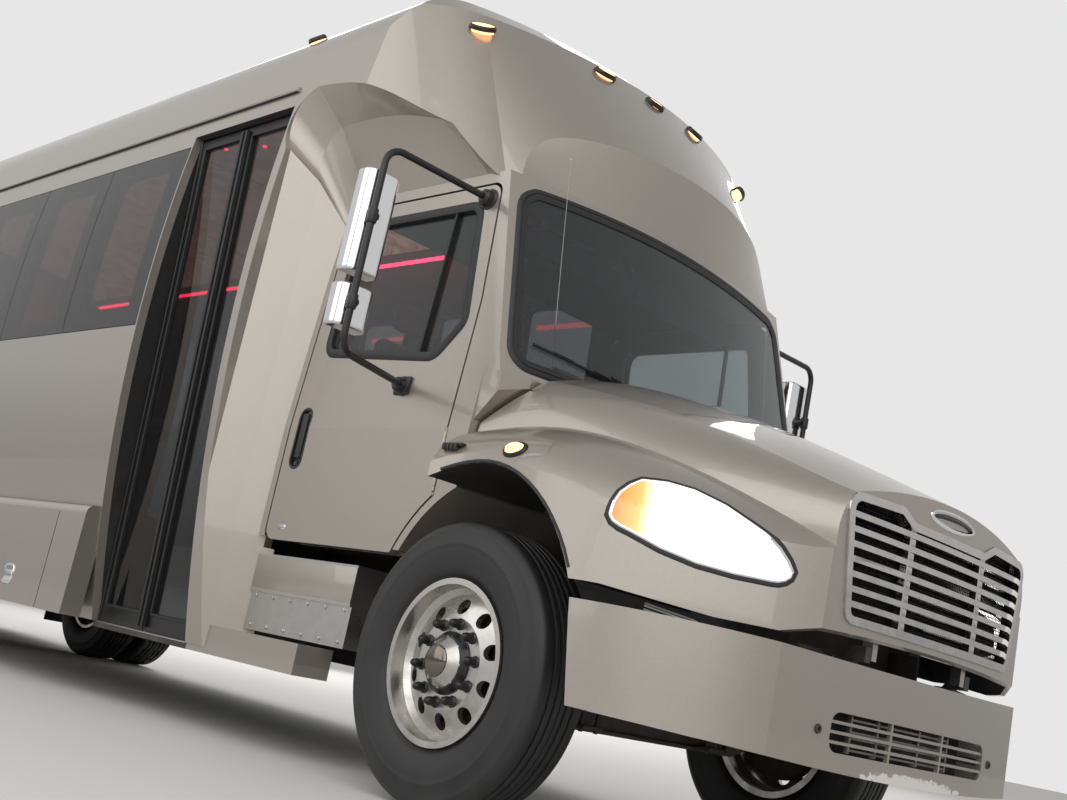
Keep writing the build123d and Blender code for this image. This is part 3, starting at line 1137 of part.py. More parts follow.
def hood_section(row, t):
    """Section across the hood, drawn in by t."""
    x, crown, shoulder, valley, crest, side, foot = row
    a = (shoulder[0] - 0.5 * t, shoulder[1] - 0.9 * t)
    b = (valley[0] - 0.7 * t, valley[1] - 0.9 * t)
    c = (crest[0] - 0.4 * t, crest[1] - t)
    d = (side[0] - t, side[1] - 0.5 * t)
    roll = ((a[0] + b[0]) / 2 + 22, (a[1] + b[1]) / 2 + 12)

    def left(p):
        return (-p[0], p[1])
    return outline(across(FA + x), (-foot + t, HOOD_FOOT - t), left(d), (left(c), left(b)),
                   (left(roll), left(a)),
                   ((0, crown - t), a), (roll, b), (c, d), (foot - t, HOOD_FOOT - t))


def hood_plan(inset):
    """Plan of the hood's nose: bowed across the grille, drawn back round each lamp."""
    i = inset
    face = outline(level(HOOD_FOOT - 100), (FA - 400, -1200 + i), (FA + 600, -1200 + i),
                   ((FA + 950 - 0.7 * i, -962 + 0.7 * i), (FA + GRILLE_CORNER_X - i, -650 + 0.5 * i)),
                   ((FA + HOOD_NOSE - i, 0), (FA + GRILLE_CORNER_X - i, 650 - 0.5 * i)),
                   ((FA + 950 - 0.7 * i, 962 - 0.7 * i), (FA + 600, 1200 - i)), (FA - 400, 1200 - i))
    return extrude(face, amount=1400, dir=(0, 0, 1))


CHIN_X = 1140
CHIN_Z = 868


def hood_form(t):
    """Outer form of the hood, or the space inside it, which is open below."""
    form = loft([hood_section(row, t) for row in HOOD]) & hood_plan(t)
    chin = outline(along(-1300), (FA + CHIN_X, 400), (FA + CHIN_X, HOOD_LOW_NOSE),
                   (FA + HOOD_NOSE + 5, CHIN_Z),
                   (FA + 1400, CHIN_Z), (FA + 1400, 400))
    return form - extrude(chin, amount=2600, dir=(0, 1, 0)) if t == 0 else form


hood_out = hood_form(0)
hood_in = hood_form(HOOD_T)
# Grille: a chromed surround with a notch for the plain oval, seven slats and two uprights
GRILLE_LOW = 886
GRILLE = [(-621, 1311, 60), (-322, 1322, 40), (-244, 1283, 30), (244, 1283, 30), (322, 1322, 40),
          (621, 1311, 60),
          (555, GRILLE_LOW, 50), (-555, GRILLE_LOW, 50)]
GRILLE_RIM = 28
SLAT_COUNT = 8
SLAT_H = 20
grille_face = rounded(across(FA + 1000), *GRILLE)


def grille_slab(front, back):
    """Bowed slab across the nose between two depths behind the grille's front."""
    face = outline(level(700), (FA + 1230 - front, -650),
                   ((FA + NOSE_REACH - front, 0), (FA + 1230 - front, 650)),
                   (FA + 1230 - back, 650), ((FA + NOSE_REACH - back, 0), (FA + 1230 - back, -650)))
    return extrude(face, amount=800, dir=(0, 0, 1))


grille_hole = extrude(grille_face, amount=400, dir=(1, 0, 0))
surround = extrude(offset(grille_face, -SEAT_GAP), amount=400, dir=(1, 0, 0))
surround = surround - extrude(offset(grille_face, -GRILLE_RIM), amount=400, dir=(1, 0, 0))
surround = surround & grille_slab(0, 45)
bars = [block(FA + 1000, FA + 1400, y - 6, y + 6, 895, 1300) for y in (-245, 245)]
slat_step = (1290 - 905) / SLAT_COUNT
for i in range(1, SLAT_COUNT):
    z = 905 + i * slat_step
    bars.append(block(FA + 1000, FA + 1400, -610, 610, z - SLAT_H / 2, z + SLAT_H / 2))
slats = join(bars) & extrude(offset(grille_face, -GRILLE_RIM + 2), amount=400,
                             dir=(1, 0, 0)) & grille_slab(12, 38)
parts["grille"] = surround + slats

# Headlamps: swept-back teardrops on the nose's corners. Points (along the nose's corner, z)
LAMP_DEPTH = 60
lamp_plane = Plane(origin=(FA + 400, -400, 0), x_dir=(1, 1, 0), z_dir=(1, -1, 0))
lamp_face = outline(lambda u, z: tuple(lamp_plane.from_local_coords((u, z, 0))), (-318, 1075),
                    ((-306, 1160), (-233, 1212)), ((-60, 1208), (141, 1125)), ((232, 1068), (283, 1003)),
                    ((262, 972), (219, 962)), ((-20, 972), (-247, 1035)), ((-298, 1050), (-318, 1075)))
lamp_hole = extrude(offset(lamp_face, SEAT_GAP), amount=1000, dir=(1, -1, 0))
lamp = extrude(lamp_face, amount=1000, dir=(1, -1, 0)) & (hood_out - hood_form(LAMP_DEPTH))
fender_lamp = extrude(Plane(origin=(FA + 130, -1085, 1305), x_dir=(1, 0, 0),
                            z_dir=(0, -0.5, 0.85)) * Ellipse(45, 24),
                      amount=30)
parts["headlamps"] = both(lamp) + both(fender_lamp)

hood = hood_out - grille_hole - lamp_hole - flip(lamp_hole) - hood_in - fender_lamp - flip(fender_lamp)
under = outline(along(-1300), (FA - 400, 500), (FA + CHIN_X, 500), (FA + CHIN_X, HOOD_LOW_NOSE),
                (FA + 1000, HOOD_LOW_NOSE), (FA + 700, HOOD_LOW), (FA - 400, HOOD_LOW))
hood = hood - extrude(under, amount=2600, dir=(0, 1, 0)) - front_arch
# its rear edge stands clear of the cowl and of the windscreen's bow
HOOD_REAR_GAP = 10
SCREEN_CLEAR = 45
behind = outline(along(-1300), (FA - 400, 500), (FIREWALL + HOOD_REAR_GAP, 500),
                 (FIREWALL + HOOD_REAR_GAP, 1435),
                 (FA - 103, 1590), (FA - 103, 1700), (FA - 400, 1700))
hood = hood - extrude(behind, amount=2600, dir=(0, 1, 0))
hood = hood - (screen_form(-SCREEN_CLEAR) & block(FA - 500, FA + 300, -1300, 1300, 1590, 2000))
# ledge below the grille, and under it two hinge arms with bores for the frame's pins
LEDGE_HALF = 560
LEDGE_BACK = 1150
HINGE_Y = 300
HINGE_HALF = 15
HINGE_R = 10
ledge = block(FA + LEDGE_BACK, FA + HOOD_NOSE - HOOD_T / 2, -LEDGE_HALF, LEDGE_HALF, CHIN_Z, GRILLE_LOW)
hood = hood + (ledge & hood_out)
for y in (-HINGE_Y, HINGE_Y):
    arm = block(FA + HOOD_PIVOT_X - 20, FA + HOOD_PIVOT_X + 20, y - HINGE_HALF, y + HINGE_HALF,
                HOOD_PIVOT_Z - 20,
                CHIN_Z + 2)
    bore = rod((FA + HOOD_PIVOT_X, y - 30, HOOD_PIVOT_Z), (FA + HOOD_PIVOT_X, y + 30, HOOD_PIVOT_Z),
               HINGE_R + PIN_FIT)
    hood = hood + arm - bore
parts["hood"] = hood

# Wheel housings under the hood, which tilt with it
LINER_IN = 560
liner = arch_drum(FRONT_ARCH_R + LINER_T) - front_arch
liner = liner & block(FIREWALL + HOOD_REAR_GAP + 2, FA + 700, -far, -LINER_IN, HOOD_LOW, 1300)
parts["wheel_housings"] = both(liner & (hood_form(HOOD_T + SEAT_GAP)))

# Entrance leaves: two flat glazed frames that swing outwards about their outer edges
lean = Rot(LEAF_LEAN, 0, 0)
leaf_w = DOOR_W / 2 - LEAF_GAP - 4
leaf_h = (DOOR_TOP - LEAF_GAP - SILL_Z) / math.cos(math.radians(LEAF_LEAN)) - 6
for tag, s, edge_x in (("front", -1, CAP_BACK - LEAF_GAP), ("rear", 1, DOOR_BACK + LEAF_GAP)):
    x = sorted((0, s * leaf_w))
    place = Pos(edge_x, -LEAF_LOW_Y, SILL_Z) * lean
    leaf = block(x[0], x[1], 0, LEAF_T, 0, leaf_h)
    leaf = leaf + rod((0, 0, 0), (0, 0, leaf_h), LEAF_GAP - SEAT_GAP) + rod((0, 0, -30), (0, 0, 1),
                                                                            LEAF_PIN_R)
    f = LEAF_FRAME
    leaf = leaf - block(x[0] + f, x[1] - f, -1, LEAF_T + 1, f + 40, leaf_h - f)
    leaf_glass = block(x[0] + f + SEAT_GAP, x[1] - f - SEAT_GAP, LEAF_T / 2 - 3, LEAF_T / 2 + 3,
                       f + 40 + SEAT_GAP,
                       leaf_h - f - SEAT_GAP)
    parts["entry_leaf_" + tag] = place * leaf
    parts["entry_glass_" + tag] = place * leaf_glass

os.makedirs("parts", exist_ok=True)
for name, shape in parts.items():
    solids = []
    for piece in shape if isinstance(shape, list) else [shape]:
        solids += piece.solids()
    export_step(solids[0] if len(solids) == 1 else Compound(children=solids), f"parts/{name}.step")
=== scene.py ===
import math
import bmesh
import bpy
from mathutils import Matrix, Vector
from mathutils.bvhtree import BVHTree


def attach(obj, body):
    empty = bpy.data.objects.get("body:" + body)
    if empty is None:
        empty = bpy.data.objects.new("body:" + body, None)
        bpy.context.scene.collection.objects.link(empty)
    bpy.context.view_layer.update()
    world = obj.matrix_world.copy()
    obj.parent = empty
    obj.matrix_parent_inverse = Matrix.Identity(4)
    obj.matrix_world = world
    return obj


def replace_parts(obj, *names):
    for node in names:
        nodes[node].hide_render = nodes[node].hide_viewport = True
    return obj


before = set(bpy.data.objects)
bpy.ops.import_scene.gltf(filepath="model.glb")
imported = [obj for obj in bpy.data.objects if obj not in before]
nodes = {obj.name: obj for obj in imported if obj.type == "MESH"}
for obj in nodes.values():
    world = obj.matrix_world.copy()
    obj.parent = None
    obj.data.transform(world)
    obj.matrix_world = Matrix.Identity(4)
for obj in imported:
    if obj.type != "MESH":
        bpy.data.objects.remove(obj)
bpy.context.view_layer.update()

# Camera: low beside the bus's right front wheel, looking up at the brow and tilted,
# as the photograph was taken. It is placed from the front axle, in metres.
NOSE_REACH = 1.265
TAIL_REACH = 2.75
WHEELBASE = 6.45
FRONT_AXLE = (WHEELBASE + TAIL_REACH - NOSE_REACH) / 2
REAR_AXLE = FRONT_AXLE - WHEELBASE
AXLE_Z = 0.512
EYE = Vector((FRONT_AXLE + 3.623, -4.208, 0.511))
HEADING, LIFT, TILT = (math.radians(a) for a in (137.99, 11.83, 11.61))
forward = Vector((math.cos(LIFT) * math.cos(HEADING), math.cos(LIFT) * math.sin(HEADING), math.sin(LIFT)))
level = forward.cross(Vector((0, 0, 1))).normalized()
rise = level.cross(forward)
right = math.cos(TILT) * level + math.sin(TILT) * rise
up = -math.sin(TILT) * level + math.cos(TILT) * rise
camera_data = bpy.data.cameras.new("photo_camera")
camera_data.lens = 44.31
camera_data.sensor_fit = "HORIZONTAL"
camera = bpy.data.objects.new("photo_camera", camera_data)
camera.matrix_world = Matrix(((right.x, up.x, -forward.x, EYE.x), (right.y, up.y, -forward.y, EYE.y),
                              (right.z, up.z, -forward.z, EYE.z), (0, 0, 0, 1)))
bpy.context.scene.collection.objects.link(camera)
bpy.context.scene.camera = camera
bpy.context.scene.view_settings.view_transform = "Standard"

# Studio: a pale world that glass and metal mirror, a softer light from it on the bus,
# one large soft lamp over the camera's side, a weaker one behind, and a pale floor.


def node(tree, kind, values=None, links=None, **settings):
    """Shader node with its settings, its sockets' values and the sockets that feed it."""
    made = tree.nodes.new("ShaderNode" + kind)
    for key, value in settings.items():
        setattr(made, key, value)
    for socket, value in (values or {}).items():
        made.inputs[socket].default_value = value
    for socket, source in (links or {}).items():
        tree.links.new(source, made.inputs[socket])
    return made


world = bpy.data.worlds.new("studio")
bpy.context.scene.world = world
world.use_nodes = True
tree = world.node_tree
tree.nodes.clear()
paths = node(tree, "LightPath")
seen = node(tree, "Math", links={0: paths.outputs["Is Camera Ray"], 1: paths.outputs["Is Transmission Ray"]},
            operation="MAXIMUM")
split = node(tree, "SeparateXYZ", links={0: node(tree, "TexCoord").outputs["Generated"]})
half = node(tree, "Math", {1: 0.5, 2: 0.5}, {0: split.outputs["Z"]}, operation="MULTIPLY_ADD")
sky = node(tree, "ValToRGB", links={"Fac": half.outputs[0]})
sky.color_ramp.elements[0].position = 0.42
sky.color_ramp.elements[0].color = (0.20, 0.19, 0.18, 1)
sky.color_ramp.elements[1].position = 0.50
sky.color_ramp.elements[1].color = (0.36, 0.36, 0.37, 1)
for position, shade in ((0.56, 0.80), (0.72, 0.95), (1.0, 0.50)):
    sky.color_ramp.elements.new(position).color = (shade, shade, shade, 1)
plain = node(tree, "Background", {"Color": (0.80, 0.80, 0.80, 1), "Strength": 1.0})
lit = node(tree, "Background", {"Strength": 0.75}, {"Color": sky.outputs["Color"]})
blend = node(tree, "MixShader", links={"Fac": seen.outputs[0], 1: lit.outputs[0], 2: plain.outputs[0]})
node(tree, "OutputWorld", links={"Surface": blend.outputs[0]})


def soft_lamp(name, place, aim, size, watts):
    """Square area lamp that points at a place."""
    data = bpy.data.lights.new(name, "AREA")
    data.size = size
    data.energy = watts
    lamp = bpy.data.objects.new(name, data)
    lamp.location = place
    lamp.rotation_euler = (Vector(aim) - Vector(place)).to_track_quat("-Z", "Y").to_euler()
    lamp.visible_camera = lamp.visible_transmission = False
    bpy.context.scene.collection.objects.link(lamp)


soft_lamp("key_lamp", (10, -9, 8), (1.5, 0, 1.5), 14, 850)
soft_lamp("side_lamp", (-3, -12, 7), (-1, 0, 1.5), 12, 450)
soft_lamp("back_lamp", (-9, 9, 8), (0, 0, 1.5), 11, 900)

floor_mesh = bpy.data.meshes.new("floor")
FLOOR_REACH = 200
floor_mesh.from_pydata([(-FLOOR_REACH, -FLOOR_REACH, 0), (FLOOR_REACH, -FLOOR_REACH, 0),
                        (FLOOR_REACH, FLOOR_REACH, 0), (-FLOOR_REACH, FLOOR_REACH, 0)], [], [(0, 1, 2, 3)])
floor = bpy.data.objects.new("floor", floor_mesh)
bpy.context.scene.collection.objects.link(floor)
floor_paint = bpy.data.materials.new("pale_floor")
floor_paint.use_nodes = True
floor_shader = floor_paint.node_tree.nodes["Principled BSDF"]
floor_shader.inputs["Base Color"].default_value = (0.70, 0.69, 0.67, 1)
floor_shader.inputs["Roughness"].default_value = 0.75
floor_mesh.materials.append(floor_paint)

# Ladder frame: two pressed steel rails with cross members, painted chassis black and
# filmed with road dust; leaf springs and axles hang below on shackles and clamp bolts.


def finish(name, colour, metal=0.0, rough=0.5, coat=0.0, coat_rough=0.05, sheen=0.0, clear=0.0, ior=1.5,
           glow=None, strength=0.0):
    """Material with one Principled shader; numbers that don't vary sit on its own sockets."""
    material = bpy.data.materials.new(name)
    material.use_nodes = True
    shader = material.node_tree.nodes["Principled BSDF"]
    values = {"Base Color": (*colour, 1), "Metallic": metal, "Roughness": rough, "Coat Weight": coat,
              "Coat Roughness": coat_rough, "Sheen Weight": sheen, "Transmission Weight": clear, "IOR": ior}
    if glow:
        values["Emission Color"] = (*glow, 1)
        values["Emission Strength"] = strength
    for socket, value in values.items():
        shader.inputs[socket].default_value = value
    return material


def group(name, inputs, outputs):
    """Empty shader node group, with its input and output nodes."""
    made = bpy.data.node_groups.new(name, "ShaderNodeTree")
    for way, sockets in (("INPUT", inputs), ("OUTPUT", outputs)):
        for label, kind in sockets.items():
            made.interface.new_socket(label, in_out=way, socket_type="NodeSocket" + kind)
    return made, made.nodes.new("NodeGroupInput").outputs, made.nodes.new("NodeGroupOutput").inputs


def lay(material, effect, values, bump=0.0, depth=0.001, **to):
    """Puts a group in a material and links its outputs to the shader; Height goes through a bump."""
    tree = material.node_tree
    shader = tree.nodes["Principled BSDF"]
    made = tree.nodes.new("ShaderNodeGroup")
    made.node_tree = effect
    for socket, value in values.items():
        made.inputs[socket].default_value = value
    for output, socket in to.items():
        tree.links.new(made.outputs[output], shader.inputs[socket.replace("_", " ")])
    if bump:
        relief = node(tree, "Bump", {"Strength": bump, "Distance": depth}, {"Height": made.outputs["Height"]})
        if shader.inputs["Normal"].links:
            tree.links.new(shader.inputs["Normal"].links[0].from_socket, relief.inputs["Normal"])
        tree.links.new(relief.outputs["Normal"], shader.inputs["Normal"])


def blended(tree, factor, a, b):
    """Colour mix of two sockets."""
    return node(tree, "Mix", links={0: factor, 6: a, 7: b}, data_type="RGBA").outputs[2]


# dust that lies thicker towards the ground
road_dust, given, out = group(
    "road_dust", {"Clean": "Color", "Dust": "Color", "Low": "Float", "High": "Float", "Amount": "Float",
                  "Scale": "Float", "Smooth": "Float", "Dull": "Float"},
    {"Color": "Color", "Roughness": "Float"})
place = node(road_dust, "TexCoord").outputs["Object"]
height = node(road_dust, "SeparateXYZ", links={0: place}).outputs["Z"]
fall = node(road_dust, "MapRange", {"To Min": 0.12, "To Max": 1.0},
            {"Value": height, "From Min": given["High"], "From Max": given["Low"]})
cloud = node(road_dust, "TexNoise", {"Detail": 6.0, "Roughness": 0.65},
             {"Vector": place, "Scale": given["Scale"]})
patch = node(road_dust, "MapRange", {"From Min": 0.32, "From Max": 0.72}, {"Value": cloud.outputs["Fac"]})
film = node(road_dust, "Math", links={0: fall.outputs[0], 1: patch.outputs[0]}, operation="MULTIPLY")
mask = node(road_dust, "Math", links={0: film.outputs[0], 1: given["Amount"]}, operation="MULTIPLY",
            use_clamp=True).outputs[0]
road_dust.links.new(blended(road_dust, mask, given["Clean"], given["Dust"]), out["Color"])
dulled = node(road_dust, "MapRange", {"From Min": 0.0, "From Max": 1.0},
              {"Value": mask, "To Min": given["Smooth"], "To Max": given["Dull"]})
road_dust.links.new(dulled.outputs[0], out["Roughness"])

# fine pebbled skin of moulded plastic, rubber and cast metal
pebble, given, out = group("pebble", {"Scale": "Float"}, {"Height": "Float"})
place = node(pebble, "TexCoord").outputs["Object"]
cells = node(pebble, "TexVoronoi", links={"Vector": place, "Scale": given["Scale"]})
haze = node(pebble, "TexNoise", {"Detail": 3.0}, {"Vector": place, "Scale": given["Scale"]})
skin = node(pebble, "Math", links={0: cells.outputs["Distance"], 1: haze.outputs["Fac"]}, operation="ADD")
pebble.links.new(skin.outputs[0], out["Height"])

DUST = (0.20, 0.17, 0.14, 1)


def dusty(material, colour, low, high, amount, smooth, dull, scale=6.0, dust=DUST):
    """Lays the dust over a material's colour and roughness."""
    lay(material, road_dust, {"Clean": (*colour, 1), "Dust": dust, "Low": low, "High": high, "Amount": amount,
                              "Scale": scale, "Smooth": smooth, "Dull": dull},
        Color="Base_Color", Roughness="Roughness")


def dress(material, *names):
    """Gives CAD nodes their material."""
    for name in names:
        nodes[name].data.materials.clear()
        nodes[name].data.materials.append(material)


BLACK = (0.014, 0.014, 0.015)
chassis_black = finish("chassis_black", BLACK, rough=0.45)
dusty(chassis_black, BLACK, 0.3, 1.2, 0.55, 0.42, 0.85)
lay(chassis_black, pebble, {"Scale": 300.0}, bump=0.15)
dress(chassis_black, "chassis_frame", "cross_members", "front_axle", "rear_axle", "knuckle_right",
      "knuckle_left", "tie_rod")

spring_steel = finish("spring_steel", (0.05, 0.045, 0.04), metal=0.7, rough=0.5)
dusty(spring_steel, (0.05, 0.045, 0.042), 0.3, 0.9, 0.8, 0.45, 0.9, dust=(0.16, 0.09, 0.05, 1))
tree = spring_steel.node_tree
leaves = node(tree, "TexWave", {"Scale": 28.0}, {"Vector": node(tree, "TexCoord").outputs["Object"]},
              bands_direction="Z")
relief = node(tree, "Bump", {"Strength": 0.8, "Distance": 0.004}, {"Height": leaves.outputs["Fac"]})
tree.links.new(relief.outputs["Normal"], tree.nodes["Principled BSDF"].inputs["Normal"])
dress(spring_steel, "leaf_springs")

cast_grey = finish("cast_grey", (0.09, 0.09, 0.09), metal=0.4, rough=0.55)
dusty(cast_grey, (0.09, 0.09, 0.092), 0.4, 1.3, 0.7, 0.5, 0.85, dust=(0.05, 0.04, 0.03, 1))
lay(cast_grey, pebble, {"Scale": 220.0}, bump=0.35, depth=0.002)
dress(cast_grey, "engine_block", "drive_shaft")


def solid(name, bm, material, body, smooth=35):
    """Finished piece from a bmesh: doubles merged, normals outward, with its material, on its body."""
    bmesh.ops.remove_doubles(bm, verts=bm.verts, dist=1e-6)
    bmesh.ops.recalc_face_normals(bm, faces=bm.faces)
    mesh = bpy.data.meshes.new(name)
    bm.to_mesh(mesh)
    bm.free()
    mesh.materials.append(material)
    piece = bpy.data.objects.new(name, mesh)
    bpy.context.scene.collection.objects.link(piece)
    if smooth:
        mesh.shade_smooth()
        mesh.set_sharp_from_angle(angle=math.radians(smooth))
    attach(piece, body)
    return piece


def lathe(bm, profile, matrix=Matrix(), sides=24):
    """Closed turned form about Z from a profile (radius, z), moved by a matrix."""
    rings = []
    for r, z in profile:
        if r < 1e-6:
            rings.append([bm.verts.new(matrix @ Vector((0, 0, z)))])
            continue
        rings.append([bm.verts.new(matrix @ Vector((r * math.cos(a), r * math.sin(a), z)))
                      for a in (2 * math.pi * i / sides for i in range(sides))])
    for low, high in zip(rings, rings[1:] + ([] if len(rings[0]) == 1 else rings[:1])):
        for i in range(sides):
            corners = [low[i % len(low)], low[(i + 1) % len(low)], high[(i + 1) % len(high)],
                       high[i % len(high)]]
            corners = [v for k, v in enumerate(corners) if v not in corners[:k]]
            if len(corners) > 2:
                bm.faces.new(corners)


def slab(bm, low, high, edge=0.0, matrix=Matrix()):
    """Block between two corners with rounded edges, moved by a matrix."""
    low, high = Vector(low), Vector(high)
    made = bmesh.ops.create_cube(bm, size=1.0)["verts"]
    for v in made:
        v.co = Vector((a + b) / 2 + c * (b - a) for a, b, c in zip(low, high, v.co))
    if edge:
        edges = list({e for v in made for e in v.link_edges})
        fresh = bmesh.ops.bevel(bm, geom=edges, offset=edge, segments=2, affect="EDGES", profile=0.6)
        made = list({v for f in fresh["faces"] for v in f.verts})
        grown = set(made)
        while made:
            near = {e.other_vert(v) for v in made for e in v.link_edges} - grown
            grown |= near
            made = list(near)
        made = list(grown)
    for v in made:
        v.co = matrix @ v.co


def aim(start, end):
    """Matrix that stands a form built along Z at start and points it at end."""
    start = Vector(start)
    return Matrix.Translation(start) @ (Vector(end) - start).to_track_quat("Z", "Y").to_matrix().to_4x4()


def pipe(name, points, r, material, body, bend=0.0, sides=4):
    """Round bar through points, as a mesh; with a bend its corners are rounded."""
    data = bpy.data.curves.new(name, "CURVE")
    data.dimensions = "3D"
    route = [Vector(p) for p in points]
    if bend:
        turned = [route[0]]
        for before, here, after in zip(route, route[1:], route[2:]):
            a, b = (before - here).normalized(), (after - here).normalized()
            half = a.angle(b) / 2
            centre = here + (a + b).normalized() * (bend / math.sin(half))
            reach = bend / math.tan(half)
            start, end = here + a * reach - centre, here + b * reach - centre
            axis, total = start.cross(end).normalized(), start.angle(end)
            turned += [centre + Matrix.Rotation(total * k / 6, 3, axis) @ start for k in range(7)]
        route = turned + [route[-1]]
    spline = data.splines.new("POLY")
    spline.points.add(len(route) - 1)
    for point, place in zip(spline.points, route):
        point.co = (*place, 1)
    data.bevel_depth = r
    data.bevel_resolution = sides
    data.use_fill_caps = True
    curve = bpy.data.objects.new(name, data)
    bpy.context.scene.collection.objects.link(curve)
    mesh = bpy.data.meshes.new_from_object(curve.evaluated_get(bpy.context.evaluated_depsgraph_get()))
    bpy.data.objects.remove(curve)
    bm = bmesh.new()
    bm.from_mesh(mesh)
    return solid(name, bm, material, body, 60)


def pattern(name, ring):
    """Geometry Nodes tree that sets a piece out in a row, or round a ring about Z."""
    made = bpy.data.node_groups.new(name, "GeometryNodeTree")
    face = made.interface
    face.new_socket("Piece", in_out="INPUT", socket_type="NodeSocketObject")
    face.new_socket("Count", in_out="INPUT", socket_type="NodeSocketInt")
    if ring:
        face.new_socket("Radius", in_out="INPUT", socket_type="NodeSocketFloat")
    else:
        face.new_socket("Start", in_out="INPUT", socket_type="NodeSocketVector")
        face.new_socket("Step", in_out="INPUT", socket_type="NodeSocketVector")
    face.new_socket("Finish", in_out="INPUT", socket_type="NodeSocketMaterial")
    face.new_socket("Geometry", in_out="OUTPUT", socket_type="NodeSocketGeometry")
    links = made.links
    given = made.nodes.new("NodeGroupInput").outputs
    source = made.nodes.new("GeometryNodeObjectInfo")
    links.new(given["Piece"], source.inputs["Object"])
    spread = made.nodes.new("GeometryNodeInstanceOnPoints")
    if ring:
        points = made.nodes.new("GeometryNodeMeshCircle")
        links.new(given["Count"], points.inputs["Vertices"])
        links.new(given["Radius"], points.inputs["Radius"])
        index = made.nodes.new("GeometryNodeInputIndex")
        share = made.nodes.new("ShaderNodeMath")
        share.operation = "DIVIDE"
        links.new(index.outputs[0], share.inputs[0])
        links.new(given["Count"], share.inputs[1])
        turn = made.nodes.new("ShaderNodeMath")
        turn.operation = "MULTIPLY"
        turn.inputs[1].default_value = 2 * math.pi
        links.new(share.outputs[0], turn.inputs[0])
        spun = made.nodes.new("ShaderNodeCombineXYZ")
        links.new(turn.outputs[0], spun.inputs["Z"])
        links.new(spun.outputs[0], spread.inputs["Rotation"])
    else:
        points = made.nodes.new("GeometryNodeMeshLine")
        links.new(given["Count"], points.inputs["Count"])
        links.new(given["Start"], points.inputs["Start Location"])
        links.new(given["Step"], points.inputs["Offset"])
    links.new(points.outputs[0], spread.inputs["Points"])
    links.new(source.outputs["Geometry"], spread.inputs["Instance"])
    plain = made.nodes.new("GeometryNodeRealizeInstances")
    coat = made.nodes.new("GeometryNodeSetMaterial")
    result = made.nodes.new("NodeGroupOutput")
    links.new(spread.outputs[0], plain.inputs[0])
    links.new(plain.outputs[0], coat.inputs["Geometry"])
    links.new(given["Finish"], coat.inputs["Material"])
    links.new(coat.outputs[0], result.inputs[0])
    return made


in_row = pattern("in_row", False)
in_ring = pattern("in_ring", True)


def repeat(tree, bm, material, places, **inputs):
    """Sets a piece out by a tree, and adds a copy of the result to a new bmesh at each place."""
    mesh = bpy.data.meshes.new("one")
    bmesh.ops.recalc_face_normals(bm, faces=bm.faces)
    bm.to_mesh(mesh)
    bm.free()
    one = bpy.data.objects.new("one", mesh)
    host = bpy.data.objects.new("host", bpy.data.meshes.new("host"))
    for item in (one, host):
        bpy.context.scene.collection.objects.link(item)
    modifier = host.modifiers.new("pattern", "NODES")
    modifier.node_group = tree
    values = {"Piece": one, "Finish": material, **inputs}
    for socket in tree.interface.items_tree:
        if socket.in_out == "INPUT":
            modifier[socket.identifier] = values[socket.name]
    made = bpy.data.meshes.new_from_object(host.evaluated_get(bpy.context.evaluated_depsgraph_get()))
    host.modifiers.clear()
    bpy.data.objects.remove(host)
    bpy.data.objects.remove(one)
    total = bmesh.new()
    for place in places:
        part = made.copy()
        part.transform(place)
        total.from_mesh(part)
    return total


def bolt(r=0.014, h=0.012):
    """Hexagon head on a washer, standing on Z."""
    bm = bmesh.new()
    lathe(bm, [(0, 0), (r * 1.3, 0), (r * 1.3, h * 0.2), (r * 0.9, h * 0.25), (0, h * 0.25)], sides=12)
    lathe(bm, [(0, h * 0.2), (r, h * 0.2), (r, h * 0.9), (r * 0.85, h), (0, h)], sides=6)
    return bm


def side_turn(x, y, z, side):
    """Matrix that lays a piece built on Z against a side, with its top facing out."""
    return Matrix.Translation((x, y, z)) @ Matrix.Rotation(-side * math.pi / 2, 4, "X")


RAIL_OUT = 0.432
rail_bolts = repeat(in_row, bolt(), chassis_black,
                    [side_turn(REAR_AXLE - 2.4, s * RAIL_OUT, z, s) for s in (-1, 1) for z in (0.70, 0.85)],
                    Count=33, Start=(0, 0, 0), Step=(0.262, 0, 0))
solid("rail_bolts", rail_bolts, chassis_black, "root")

clamps = bmesh.new()
for x, y, low, high in ((FRONT_AXLE, 0.392, 0.36, 0.53), (REAR_AXLE, 0.5, 0.43, 0.66)):
    for s in (-1, 1):
        for dx in (-0.075, 0.075):
            for dy in (-0.043, 0.043):
                lathe(clamps, [(0, low), (0.008, low), (0.008, high), (0, high)],
                      Matrix.Translation((x + dx, s * y + dy, 0)), 8)
        slab(clamps, (x - 0.1, s * y - 0.055, high - 0.012), (x + 0.1, s * y + 0.055, high), 0.003)
        slab(clamps, (x - 0.1, s * y - 0.055, low + 0.012), (x + 0.1, s * y + 0.055, low + 0.028), 0.003)
solid("spring_clamps", clamps, chassis_black, "root")

# Wheels: polished forged discs with ten hand holes, black pointed nut covers, a black hub face under a
# chromed dome in front, darkened with a painted dark reflection, and dark brake drums that fill the holes.
wheel_alloy = finish("wheel_alloy", (0.60, 0.58, 0.55), metal=0.95, rough=0.3)
dusty(wheel_alloy, (0.60, 0.58, 0.55), 0.2, 0.9, 0.55, 0.24, 0.6, scale=14.0, dust=(0.10, 0.09, 0.08, 1))
dress(wheel_alloy, "wheel_front_right", "wheel_front_left", "wheels_rear_right", "wheels_rear_left")
chrome = finish("chrome", (0.80, 0.80, 0.81), metal=1.0, rough=0.07)
lay(chrome, pebble, {"Scale": 30.0}, bump=0.02, depth=0.002)
# the dome's dark brown colour is a painted reflection of dark surroundings, not the chrome's own
hub_chrome_painted_dark = finish("hub_chrome_painted_dark", (0.20, 0.17, 0.15), metal=1.0, rough=0.09)
dusty(hub_chrome_painted_dark, (0.20, 0.17, 0.15), 0.2, 0.8, 0.4, 0.08, 0.5, scale=20.0)
